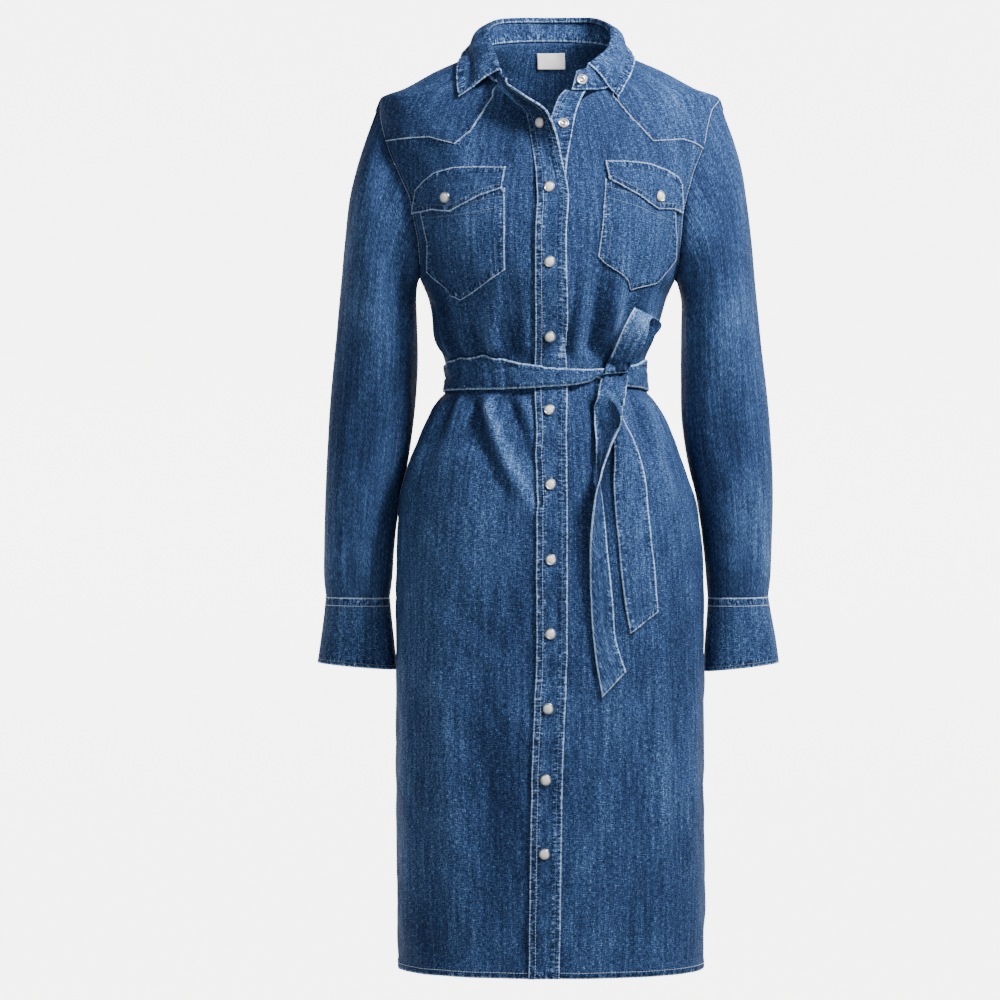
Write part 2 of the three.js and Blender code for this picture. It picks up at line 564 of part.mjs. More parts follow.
// A yoke seam from the armhole to the neck, moved up or down by part of the seam's gap.
// It is laid out flat with the angle scaled to millimetres.
const FLAT = 110;
function seamLine(side, points, move) {
  const flat = points.map(([x, z]) => {
    const [angle, height] = seen(x, z);
    return [angle * FLAT, height];
  });
  flat[0][0] = side * armholeAngle(flat[0][1], side, false) * FLAT;
  const line = chain(flat);
  return (t) => {
    const [x, z] = line(t);
    const [ax, az] = line(clamp(t - 0.01, 0, 1));
    const [bx, bz] = line(clamp(t + 0.01, 0, 1));
    const length = Math.hypot(bx - ax, bz - az);
    const nx = (side * (bz - az)) / length;
    const nz = (-side * (bx - ax)) / length;
    return [(x + nx * move) / FLAT, z + nz * move];
  };
}

function frontPanel(side, edge, yokeSeam, turned) {
  const outer = (z) => side * (armholeAngle(z, side, false) - GAP / 2 / FLAT);
  const inner = edgeAngle(edge);
  const seam = seamLine(side, yokeSeam, -GAP);
  const top = (u) => seam(1 - u);
  const base = LOW_ROWS[LOW_ROWS.length - 1];
  const low = (u, z) => [mix(inner(z), outer(z), u), z];
  const middle = (v) => (v === 1 ? top(0) : [inner(mix(base, top(0)[1], v)), mix(base, top(0)[1], v)]);
  const arm = (v) => (v === 1 ? top(1) : [outer(mix(base, top(1)[1], v)), mix(base, top(1)[1], v)]);
  const chest = patch((u) => low(u, base), top, middle, arm);
  return wall(LOW_ROWS.length + CHEST_ROWS, FRONT_COLUMNS, (i, j, layer) => {
    const u = j / (FRONT_COLUMNS - 1);
    const [angle, z] = i < LOW_ROWS.length
      ? low(u, LOW_ROWS[i])
      : chest(u, (i - LOW_ROWS.length + 1) / CHEST_ROWS);
    return onBody(angle, z, layer * (CLOTH + hemRise(z)), turned);
  });
}

function backYokeSeam(share) {
  const s = Math.abs(share);
  return s > BACK_YOKE.wingAt
    ? mix(BACK_YOKE.wing, BACK_YOKE.side, (s - BACK_YOKE.wingAt) / (1 - BACK_YOKE.wingAt))
    : mix(BACK_YOKE.point, BACK_YOKE.wing, s / BACK_YOKE.wingAt);
}

function backPanel() {
  const base = LOW_ROWS[LOW_ROWS.length - 1];
  return wall(LOW_ROWS.length + CHEST_ROWS, BACK_COLUMNS, (i, j, layer) => {
    const share = (2 * j) / (BACK_COLUMNS - 1) - 1;
    const z = i < LOW_ROWS.length
      ? LOW_ROWS[i]
      : mix(base, backYokeSeam(share) - GAP, (i - LOW_ROWS.length + 1) / CHEST_ROWS);
    const reach = armholeAngle(z, Math.sign(share) || 1, true) - GAP / 2 / FLAT;
    return onBody(Math.PI - share * reach, z, layer * (CLOTH + hemRise(z)));
  });
}

// Height of the neckline at an angle round from the front
function neckZ(angle) {
  const at = Math.abs(THREE.MathUtils.radToDeg(angle));
  if (at <= 90) return sample(NECKLINE, 'at', 'z', Math.max(at, 8));
  return mix(NECK_BACK_Z, NECK_SIDE_Z, ((180 - at) / 90) ** 2);
}

const RIDGE = 0.006; // half of the gap along the shoulder seam, in radians
const NECK_SHARE = 6 / 14; // part of the back yoke's top that runs along the neck
function backYoke() {
  const rows = 7;
  const columns = 29;
  return wall(rows, columns, (i, j, layer) => {
    const share = (2 * j) / (columns - 1) - 1;
    const side = Math.sign(share) || 1;
    const s = Math.abs(share);
    const v = i / (rows - 1);
    const shoulder = s > NECK_SHARE;
    const t = shoulder ? (s - NECK_SHARE) / (1 - NECK_SHARE) : s / NECK_SHARE;
    const topReach = shoulder ? Math.PI / 2 - RIDGE : t * (Math.PI / 2 - RIDGE);
    const topZ = shoulder ? mix(NECK_SIDE_Z, SHOULDER_Z, t) : neckZ(Math.PI - topReach);
    const lowZ = backYokeSeam(share);
    const z = mix(lowZ, topZ, v);
    const armReach = Math.min(armholeAngle(z, side, true) - GAP / 2 / FLAT, Math.PI / 2 - RIDGE);
    const lowReach = s * armholeAngle(lowZ, side, true);
    const reach = s === 1 ? armReach : Math.min(mix(lowReach, topReach, v), armReach);
    return onBody(Math.PI - side * reach, z, layer * CLOTH);
  });
}

function frontYoke(side, yokeSeam, turned) {
  const rows = 8;
  const columns = FRONT_COLUMNS;
  const bottom = seamLine(side, yokeSeam, GAP);
  const ridge = side * (Math.PI / 2 - RIDGE);
  const top = (u) => [ridge, mix(SHOULDER_Z, NECK_SIDE_Z, u)];
  const arm = (v) => {
    const z = mix(bottom(0)[1], SHOULDER_Z, v);
    return [side * Math.min(armholeAngle(z, side, false) - GAP / 2 / FLAT, Math.PI / 2 - RIDGE), z];
  };
  const neckStart = radians(sample(NECKLINE, 'z', 'at', bottom(1)[1]));
  const neck = (v) => {
    const z = mix(bottom(1)[1], NECK_SIDE_Z, v);
    const reach = Math.min(radians(sample(NECKLINE, 'z', 'at', z)), Math.PI / 2 - RIDGE);
    return [side * reach + (bottom(1)[0] - side * neckStart) * (1 - smooth(v / 0.5)), z];
  };
  const shape = patch(bottom, top, arm, neck);
  return wall(rows, columns, (i, j, layer) => {
    const [angle, z] = shape(j / (columns - 1), i / (rows - 1));
    return onBody(angle, z, layer * CLOTH, turned);
  });
}

// A wall of even thickness along a surface given as pointAt(u, v); share is how much of it lies outside
function sheet(rows, columns, pointAt, thick, share) {
  const e = 0.004;
  const inside = (t) => clamp(t, 0, 1);
  return wall(rows, columns, (i, j, layer) => {
    const u = j / (columns - 1);
    const v = i / (rows - 1);
    const across = pointAt(inside(u + e), v).sub(pointAt(inside(u - e), v));
    const along = pointAt(u, inside(v + e)).sub(pointAt(u, inside(v - e)));
    const normal = across.cross(along).normalize();
    return pointAt(u, v).addScaledVector(normal, (layer - 1 + share) * thick);
  });
}

// A smooth value of one column of a table part of the way (0 to 1) down its rows
function between(table, name, v) {
  const place = v * (table.length - 1);
  const k = Math.min(Math.floor(place), table.length - 2);
  const row = (n) => table[clamp(n, 0, table.length - 1)][name];
  const t = place - k;
  const a = row(k - 1);
  const b = row(k);
  const c = row(k + 1);
  const d = row(k + 2);
  return 0.5 * (2 * b + (c - a) * t + (2 * a - 5 * b + 4 * c - d) * t * t + (3 * b - a - 3 * c + d) * t ** 3);
}

// A sleeve or cuff from its table of sections; ring 0 of a sleeve is drawn onto the armhole
function tube(side, table, rows, thick, startAt) {
  const ringAt = (phase, v, inset) => {
    const get = (name) => between(table, name, v);
    const halfX = (get('outX') - get('inX')) / 2;
    const halfZ = (get('outZ') - get('inZ')) / 2;
    const half = Math.hypot(halfX, halfZ);
    const cos = Math.cos(phase) * (1 - inset / half);
    const deep = get('deep') - inset + sleeveFold(phase, get('inZ'), v);
    const midX = (get('outX') + get('inX')) / 2;
    return new THREE.Vector3(
      side * (midX + halfX * cos),
      get('y') - deep * Math.sin(phase),
      (get('outZ') + get('inZ')) / 2 + halfZ * cos,
    );
  };
  return wall(rows, SLEEVE_COLUMNS, (i, j, layer) => {
    const phase = (2 * Math.PI * j) / SLEEVE_COLUMNS;
    const v = i / (rows - 1);
    const point = ringAt(phase, v, layer === 1 ? 0 : thick);
    if (startAt) {
      const weight = (1 - smooth(v / 0.36)) ** 1.5;
      point.addScaledVector(startAt(j, layer).sub(ringAt(phase, 0, layer === 1 ? 0 : thick)), weight);
    }
    return point;
  }, true);
}

function sleeveFold(phase, z, v) {
  let sum = 0;
  for (const f of SLEEVE_FOLDS) {
    if (z > f.top || z < f.bottom || v < 0.36) continue;
    const line = f.at + (f.drift * (f.top - z)) / 100;
    let away = ((THREE.MathUtils.radToDeg(phase) - line + 540) % 360) - 180;
    away /= f.width * 1.25;
    sum += f.depth * Math.exp(-away * away) * smooth(Math.min(z - f.bottom, f.top - z) / 40);
  }
  return sum;
}

// The start of a sleeve beside the armhole: a point level with the body's outer face,
// and one a wall's thickness nearer the middle of the armhole
const ARMHOLE_GAP = 1.1;
function armholeStart(side) {
  const edgePoint = (step) => {
    const z = armholeZ(step);
    const onBack = step > SLEEVE_COLUMNS / 2;
    const reach = armholeAngle(z, side, onBack);
    return [side * (onBack ? Math.PI - reach : reach), z];
  };
  const turned = side < 0;
  const loop = (step) => onBody(...edgePoint(step), CLOTH, turned);
  const middle = loop(0).add(loop(SLEEVE_COLUMNS / 2)).multiplyScalar(0.5);
  return (step, layer) => {
    const tangent = loop(step + 0.2).sub(loop(step - 0.2)).normalize();
    const normal = normalAt(...edgePoint(step), turned);
    const away = normal.cross(tangent).multiplyScalar(side).normalize();
    const point = loop(step).addScaledVector(away, ARMHOLE_GAP);
    const inwards = middle.clone().sub(point).normalize();
    return point.addScaledVector(inwards, layer === 1 ? 0 : CLOTH);
  };
}

// Points of the collar
const rollLine = new THREE.CatmullRomCurve3(COLLAR.map((row) => new THREE.Vector3(...row.roll)));
const leafEdge = new THREE.CatmullRomCurve3(
  COLLAR.slice(1, -1).map((row) => new THREE.Vector3(...row.edge)),
);
function seamOfCollar(u) {
  const place = u * (COLLAR.length - 1);
  const k = Math.min(Math.floor(place), COLLAR.length - 2);
  const at = (p) => {
    const n = clamp(Math.floor(p), 0, COLLAR.length - 2);
    return radians(mix(COLLAR[n].at, COLLAR[n + 1].at, p - n));
  };
  const angle = at(place);
  const turned = k < 3;
  const here = (a) => onBody(a, neckZ(a < -Math.PI ? a + 2 * Math.PI : a), CLOTH, turned);
  const back = here(at(Math.max(place - 0.1, 0)));
  const tangent = here(at(Math.min(place + 0.1, COLLAR.length - 1))).sub(back).normalize();
  const away = tangent.cross(normalAt(angle, neckZ(angle < -Math.PI ? angle + 2 * Math.PI : angle), turned));
  const gap = mix(STAND_GAP + 1.8, STAND_GAP, smooth(place / 2.5));
  return here(angle).addScaledVector(away.normalize(), gap);
}
const standAt = (u, v) => {
  const low = seamOfCollar(u);
  const high = rollLine.getPoint(u).add(new THREE.Vector3(0, 0, -1.4));
  return low.lerp(high, v);
};

// Moves a point out until it stands clear of the body's outer face
function keepClear(point, clear) {
  for (let i = 0; i < 3; i += 1) {
    const s = section(point.z);
    const depth = point.y < s.centreY ? s.front : s.back;
    const angle = Math.atan2((point.x - s.centreX) / s.half, -(point.y - s.centreY) / depth);
    const normal = normalAt(angle, clamp(point.z, -200, 24));
    const lift = point.clone().sub(skin(angle, point.z, false)).dot(normal);
    if (lift < clear) point.addScaledVector(normal, clear - lift);
  }
  return point;
}
const leafAt = (u, v) => {
  const rows = COLLAR.length - 1;
  const roll = rollLine.getPoint((1 + u * (rows - 2)) / rows);
  const edge = leafEdge.getPoint(u);
  const out = new THREE.Vector3(edge.x - roll.x, edge.y - roll.y, 0).normalize();
  const ends = mix(0.55, 1, smooth(Math.min(u, 1 - u) / LEAF_STRAIGHT));
  const bulge = LEAF_BULGE * ends * Math.sin(Math.PI * Math.min(v * 1.5, 1)) * (1 - v * 0.4);
  const point = roll.clone().lerp(edge, v);
  point.addScaledVector(out, bulge).add(new THREE.Vector3(0, 0, bulge * 0.6 + (1 - v) * 2.1));
  return v > 0.3 ? keepClear(point, mix(0, COLLAR_CLEAR, Math.min((v - 0.3) * 4, 1))) : point;
};

// A strip between two edge lines given as two columns of a table
function strip(first, second, table, rows, columns) {
  const [a, b] = [first, second].map((name) => (
    new THREE.CatmullRomCurve3(table.map((row) => new THREE.Vector3(...row[name])))
  ));
  return sheet(rows, columns, (u, v) => a.getPoint(v).lerp(b.getPoint(v), u), TAIL_THICK, 0.5);
}

// A tail of the sash between its two edges, held off the front straight towards the viewer
function tail(table, rows, columns) {
  return sheet(rows, columns, (u, v) => {
    const get = (name) => between(table, name, v);
    const a = seen(get('xa'), get('za'));
    const b = seen(get('xb'), get('zb'));
    const [angle, z] = [mix(a[0], b[0], u), mix(a[1], b[1], u)];
    const lift = mix(get('offA'), get('offB'), u) / Math.max(-normalAt(angle, z).y, 0.5);
    return skin(angle, z, false).add(new THREE.Vector3(0, -lift, 0));
  }, TAIL_THICK, 0.5);
}

// A patch of cloth lying on the front, its sides given as seen
function overlay(sides, rows, columns, liftAt) {
  const shape = patch(chain(sides[0]), chain(sides[1]), chain(sides[2]), chain(sides[3]));
  return wall(rows, columns, (i, j, layer) => {
    const v = i / (rows - 1);
    const [angle, z] = seen(...shape(j / (columns - 1), v));
    return onBody(angle, z, liftAt(v) + layer * CLOTH);
  });
}
const POCKET_LIFT = CLOTH + 0.8;
const FLAP_LIFT = POCKET_LIFT + CLOTH + 0.6;
// The pocket's sides run up from its bottom; the flap's run down from its top
const pocket = (p, flip) => overlay(
  [p.bottom, p.top, ...(flip ? [p.inner, p.outer] : [p.outer, p.inner])
    .map((line) => [...line].sort((a, b) => a[1] - b[1]))],
  8, 8, () => POCKET_LIFT,
);
const flap = (p, flip) => overlay(
  [p.flapTop, p.flapBottom, ...(flip ? [p.flapInner, p.flapOuter] : [p.flapOuter, p.flapInner])],
  6, 12, (v) => mix(CLOTH + GAP * 2, FLAP_LIFT, smooth(v * 1.8)),
);

const PLACKET_ROWS = [
  ...LOW_ROWS.slice(0, -1), -175.3, -159, -143, -127, -112, -98, -85, -73, -62, -52, -44, -37.9,
];
// The outer half of the placket lies over the under half, and level with its front where the neck opens
const OUTER_LIFT = BAND + 0.5;
const outerLift = (z) => (OUTER_LIFT + 1.3 * hemRise(z)) * (1 - smooth((z + 155) / 50));
function placketPiece(from, to, columns, liftAt, turned) {
  const [start, end] = [edgeAngle(from), edgeAngle(to)];
  return wall(PLACKET_ROWS.length, columns, (i, j, layer) => {
    const z = PLACKET_ROWS[i];
    const angle = mix(start(z), end(z), j / (columns - 1));
    return onBody(angle, z, liftAt(z) + layer * (BAND + hemRise(z)), turned);
  });
}

const sashColumn = (name, angle) => {
  const at = ((THREE.MathUtils.radToDeg(angle) + 90 + 360) % 360) - 90;
  return sample(SASH, 'at', name, at);
};
const sashLift = (angle) => {
  const turn = Math.abs(((THREE.MathUtils.radToDeg(angle) + 540) % 360) - 180);
  return mix(OUTER_LIFT + BAND + 1.1, CLOTH + 1.25, smooth((turn - 14) / 9));
};
function sash() {
  const columns = 44;
  return wall(3, columns, (i, j, layer) => {
    const angle = (2 * Math.PI * j) / columns - Math.PI / 2;
    const z = mix(sashColumn('bottom', angle), sashColumn('top', angle), i / 2);
    const roll = 1.2 * Math.sin((Math.PI * i) / 2);
    return onBody(angle, z, sashLift(angle) + roll + layer * BAND);
  }, true);
}

// A closed rounded body from rings of points and its two end points
function rounded(rings, ends) {
  const columns = rings[0].length;
  const positions = [...rings.flat(), ...ends].flatMap((p) => p.toArray());
  const faces = [];
  const id = (i, j) => i * columns + (j % columns);
  const last = rings.length - 1;
  for (let j = 0; j < columns; j += 1) {
    for (let i = 0; i < last; i += 1) {
      faces.push(id(i, j), id(i, j + 1), id(i + 1, j + 1), id(i, j), id(i + 1, j + 1), id(i + 1, j));
    }
    faces.push(rings.length * columns, id(0, j + 1), id(0, j));
    faces.push(rings.length * columns + 1, id(last, j), id(last, j + 1));
  }
  return facingOut(positions, faces);
}

const sashTopLift = CLOTH + 1.25 + BAND + 0.4;
function knot() {
  const [angle, z] = seen(KNOT.x, KNOT.z);
  const middle = onBody(angle, z, sashTopLift + KNOT.deep);
  const out = normalAt(angle, z);
  const side = new THREE.Vector3(0, 0, 1).cross(out).normalize();
  const up = out.clone().cross(side).normalize();
  const tilt = radians(KNOT.tilt);
  const long = side.clone().multiplyScalar(Math.cos(tilt)).addScaledVector(up, Math.sin(tilt));
  const short = out.clone().cross(long);
  const rings = [-64, -34, 0, 34, 64].map((latitude) => {
    const swell = Math.cos(radians(latitude)) ** 0.8;
    const place = Math.sin(radians(latitude)) * KNOT.wide;
    return Array.from({ length: 12 }, (_, k) => {
      const phase = (2 * Math.PI * k) / 12;
      return middle.clone()
        .addScaledVector(long, place)
        .addScaledVector(short, KNOT.high * swell * Math.cos(phase))
        .addScaledVector(out, KNOT.deep * swell * Math.sin(phase));
    });
  });
  const ends = [-1, 1].map((way) => middle.clone().addScaledVector(long, way * KNOT.wide));
  return rounded(rings, ends);
}

// A domed snap cap standing on a surface
function snap(name, base, normal) {
  const sides = 10;
  const side = new THREE.Vector3(0.31, 0.2, 1).cross(normal).normalize();
  const up = normal.clone().cross(side);
  const ring = (radius, height) => Array.from({ length: sides }, (_, k) => {
    const phase = (2 * Math.PI * k) / sides;
    return base.clone()
      .addScaledVector(side, radius * Math.cos(phase))
      .addScaledVector(up, radius * Math.sin(phase))
      .addScaledVector(normal, height);
  });
  const rings = [ring(SNAP_RADIUS, 0), ring(0.8 * SNAP_RADIUS, SNAP_HEIGHT)];
  const ends = [base, base.clone().addScaledVector(normal, SNAP_HEIGHT)];
  piece(name, rounded(rings, ends), 'snap');
}
function snapOnBody(name, x, z, lift, turned = false) {
  const [angle, height] = seen(x, z);
  snap(name, onBody(angle, height, lift + 0.7, turned), normalAt(angle, height, turned));
}

piece('front_right', frontPanel(-1, rightFrontEdge, RIGHT_YOKE_SEAM, true));
piece('front_left', frontPanel(1, leftFrontEdge, LEFT_YOKE_SEAM, false));
piece('back', backPanel());
piece('yoke_back', backYoke());
piece('yoke_front_right', frontYoke(-1, RIGHT_YOKE_SEAM, true));
piece('yoke_front_left', frontYoke(1, LEFT_YOKE_SEAM, false));
piece('placket', placketPiece(placketSeam, placketEdge, 5, outerLift, true));
piece('placket_under', placketPiece(underEdge, (z) => leftFrontEdge(z) - 0.7, 4, () => 0, false));
piece('sleeve_right', tube(-1, RIGHT_SLEEVE, 17, CLOTH, armholeStart(-1)));
piece('sleeve_left', tube(1, LEFT_SLEEVE, 17, CLOTH, armholeStart(1)));
piece('cuff_right', tube(-1, RIGHT_CUFF, 4, BAND));
piece('cuff_left', tube(1, LEFT_CUFF, 4, BAND));
piece('collar_stand', sheet(3, 37, standAt, STAND_THICK, 0));
piece('collar_leaf', sheet(5, 33, leafAt, LEAF_THICK, 1));
piece('pocket_right', pocket(RIGHT_POCKET, false));
piece('pocket_left', pocket(LEFT_POCKET, true));
piece('flap_right', flap(RIGHT_POCKET, false));
piece('flap_left', flap(LEFT_POCKET, true));
piece('belt', sash());
piece('belt_knot', knot());
piece('belt_loop', strip('a', 'b', LOOP, 14, 3));
piece('belt_tail_long', tail(LONG_TAIL, 20, 4));
piece('belt_tail_short', tail(SHORT_TAIL, 14, 5));
piece('label', wall(3, 5, (i, j, layer) => {
  const z = LABEL.z + LABEL.high * (i / 2 - 0.5);
  const half = section(z).half;
  const angle = Math.PI - Math.asin((LABEL.x + LABEL.wide * (j / 4 - 0.5)) / half);
  return onBody(angle, z, -LABEL.gap - LABEL.thick + layer * LABEL.thick);
}), 'label');

FRONT_SNAPS_Z.forEach((z, k) => {
  snapOnBody(`snap_front_${k + 1}`, placketX(z) - 1.5, z, outerLift(z) + BAND, true);
});
snapOnBody('snap_neck_cap', -10, -72, outerLift(-85) + BAND, true);
snapOnBody('snap_neck_stud', 15, -72, BAND);
snapOnBody('snap_pocket_right', ...RIGHT_POCKET.snap, FLAP_LIFT + CLOTH);
snapOnBody('snap_pocket_left', ...LEFT_POCKET.snap, FLAP_LIFT + CLOTH);
for (const [name, u] of [['snap_stand_stud', 0.975], ['snap_stand_cap', 0.03]]) {
  const middle = standAt(u, 0.5);
  const across = standAt(u + 0.01, 0.5).sub(standAt(u - 0.01, 0.5));
  const normal = standAt(u, 0.6).sub(standAt(u, 0.4)).cross(across).normalize();
  snap(name, middle.addScaledVector(normal, STAND_THICK + 0.7), normal);
}

export default dress;
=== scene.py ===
"""Denim shirt dress in its worn shape, with snaps down the front and a tied sash.

Sizes are in millimetres on the dress itself: X to the wearer's left, Y to the back, Z up,
with the middle of the neck at the origin. Angles go round the body from the front, in radians.
"""
import math

import bmesh
import bpy
import numpy as np
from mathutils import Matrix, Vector


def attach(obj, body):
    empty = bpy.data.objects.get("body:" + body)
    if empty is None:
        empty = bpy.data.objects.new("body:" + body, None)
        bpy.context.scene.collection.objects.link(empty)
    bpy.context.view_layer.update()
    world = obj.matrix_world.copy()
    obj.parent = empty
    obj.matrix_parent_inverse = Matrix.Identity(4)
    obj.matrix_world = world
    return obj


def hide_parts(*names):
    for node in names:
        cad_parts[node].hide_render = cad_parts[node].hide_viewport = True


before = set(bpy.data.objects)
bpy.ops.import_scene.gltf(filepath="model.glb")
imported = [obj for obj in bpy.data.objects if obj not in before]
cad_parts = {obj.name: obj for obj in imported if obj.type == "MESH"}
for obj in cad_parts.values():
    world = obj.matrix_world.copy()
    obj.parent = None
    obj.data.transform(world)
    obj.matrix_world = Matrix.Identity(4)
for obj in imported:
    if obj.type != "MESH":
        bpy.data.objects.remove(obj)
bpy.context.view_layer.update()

MM = 0.001
rng = np.random.default_rng(41)

# How far the outer face stands off the form (panels), off what it lies on (bands) and off the
# form again (a piece on the panels), and how thick one layer, the tie's ends and two layers look
CLOTH = 1.4
BAND = 2.0
ON_CLOTH = CLOTH + 1.25
ONE_LAYER = 1.2
TIE = 1.6
TWO_LAYERS = 1.8
GAP = 0.35

# Heights
HEM_Z = -1015
ARMPIT_Z = -244
SHOULDER_Z = -45
NECK_SIDE_Z = 12
NECK_BACK_Z = 26
PANEL_BASE_Z = -205
OPENING_Z = (-150, -30)
SASH_Z = -354
BODICE_FOOT_Z = -360
LONG_FOLDS_Z = -540

# Where the dress is seen from
VIEW_DISTANCE = 4000
VIEW_HEIGHT = -493
VIEW_X = -56

# The front band, how far the open front leads it, the body's radius that turns angles into
# lengths, the body's width over its depth, and the distance from stitch to stitch
PLACKET_WIDTH = 35
OVERLAP = 9
LEAD = 5
ROUND = 110
DEPTH_SHARE = 1.5
PITCH = 3.3

# Horizontal sections of the body: half width, depth to the front and back, centre and squareness
BODY = {
    "z": [40, 26, 12, -16, -34, -45, -80, -120, -161, -205, -244, -269, -291, -314, -336, -358, -372, -381,
          -403, -426, -448, -470, -493, -538, -605, -784, -941, -1015],
    "centre_x": [-3, -3, -2, -1, -0.5, 0, 0, 0, 0, -1, -3, -3, -4, -6, -6, -4.6, -4.4, -5,
                 -4, -4, -5, -4, -3, -1, 0, 0, 1, 1],
    "half": [48, 58, 71, 130, 163, 189, 190, 182, 171, 157, 142, 131, 126, 120, 110.5, 107.5, 110.5, 118.5,
             132, 142, 151, 158, 164, 169, 171, 171, 171, 169],
    "front": [26, 33, 42, 57, 67, 74, 89, 102, 113, 119, 117, 111, 104, 96, 90, 88, 88.5, 91,
              96, 100, 103, 105, 107, 109, 110, 110, 109, 107],
    "back": [47, 52, 58, 71, 79, 84, 94, 99, 100, 98, 94, 90, 87, 84, 82, 82, 83, 86,
             94, 102, 108, 113, 117, 120, 120, 117, 113, 110],
    "centre_y": [7, 6, 5, 4, 3.5, 3, 2, 1, 0, 0, 0, 0, 0, 0, 0, 0, 0, 0,
                 0, 0, 0, 0, 0, 0, 0, 0, 0, 0],
    "power": [2.0, 2.0, 2.0, 2.0, 2.0, 2.0, 2.0, 2.0, 2.0, 2.05, 2.1, 2.1, 2.1, 2.1, 2.1, 2.1, 2.1, 2.1,
              2.1, 2.15, 2.15, 2.2, 2.2, 2.25, 2.25, 2.25, 2.25, 2.25],
}
ARMHOLE = {
    "z": [-45, -52, -60, -95, -130, -161, -203, -225, -239, -244],
    "right": [190, 189.6, 189, 182, 168.5, 156, 147, 143.5, 142.5, 143],
    "left": [190, 185, 180, 171, 159, 149, 143, 140.5, 139.5, 140],
    "back": [190, 188.5, 187, 180, 169, 160, 151, 145.5, 142.8, 142.5],
}
NECKLINE = {"at": [8, 16, 19.6, 33, 51, 71, 90], "z": [-37.6, -36.7, -35.6, -17, -0.5, 8.5, 12]}
PLACKET_LINE = {
    "z": [-130, -420, -500, -660, -728, -806, -890, -1030],
    "x": [0.9, 1.1, 2.0, 2.0, -0.4, -3.2, -4.6, -6.6],
}
RIGHT_OPENING = {
    "z": [-30, -44, -59, -82, -107, -130, -150],
    "seam": [-51, -39, -26, -22, -18.5, -15.8, -14.7],
    "edge": [-48, -27, -4, 7, 13, 18, 21],
    "turn": [33, 32, 27, 19, 10, 3, 0],
}
LEFT_OPENING = {
    "z": [-30, -39, -59, -85, -114, -150],
    "seam": [44, 38, 30, 25, 20, 17],
    "edge": [25, 12, 3, -3, -5.5, -5.5],
}
RIGHT_YOKE_SEAM = [(-184, -92), (-158, -88.5), (-133, -87), (-105, -95), (-87, -79.5), (-63, -42),
                   (-56.5, -28.6)]
LEFT_YOKE_SEAM = [(174, -101), (161, -94), (148, -89.5), (113, -92), (91, -67), (70, -42), (61.5, -26)]
BACK_YOKE = {"share": [0, 0.5, 1], "z": [-130, -106, -92]}

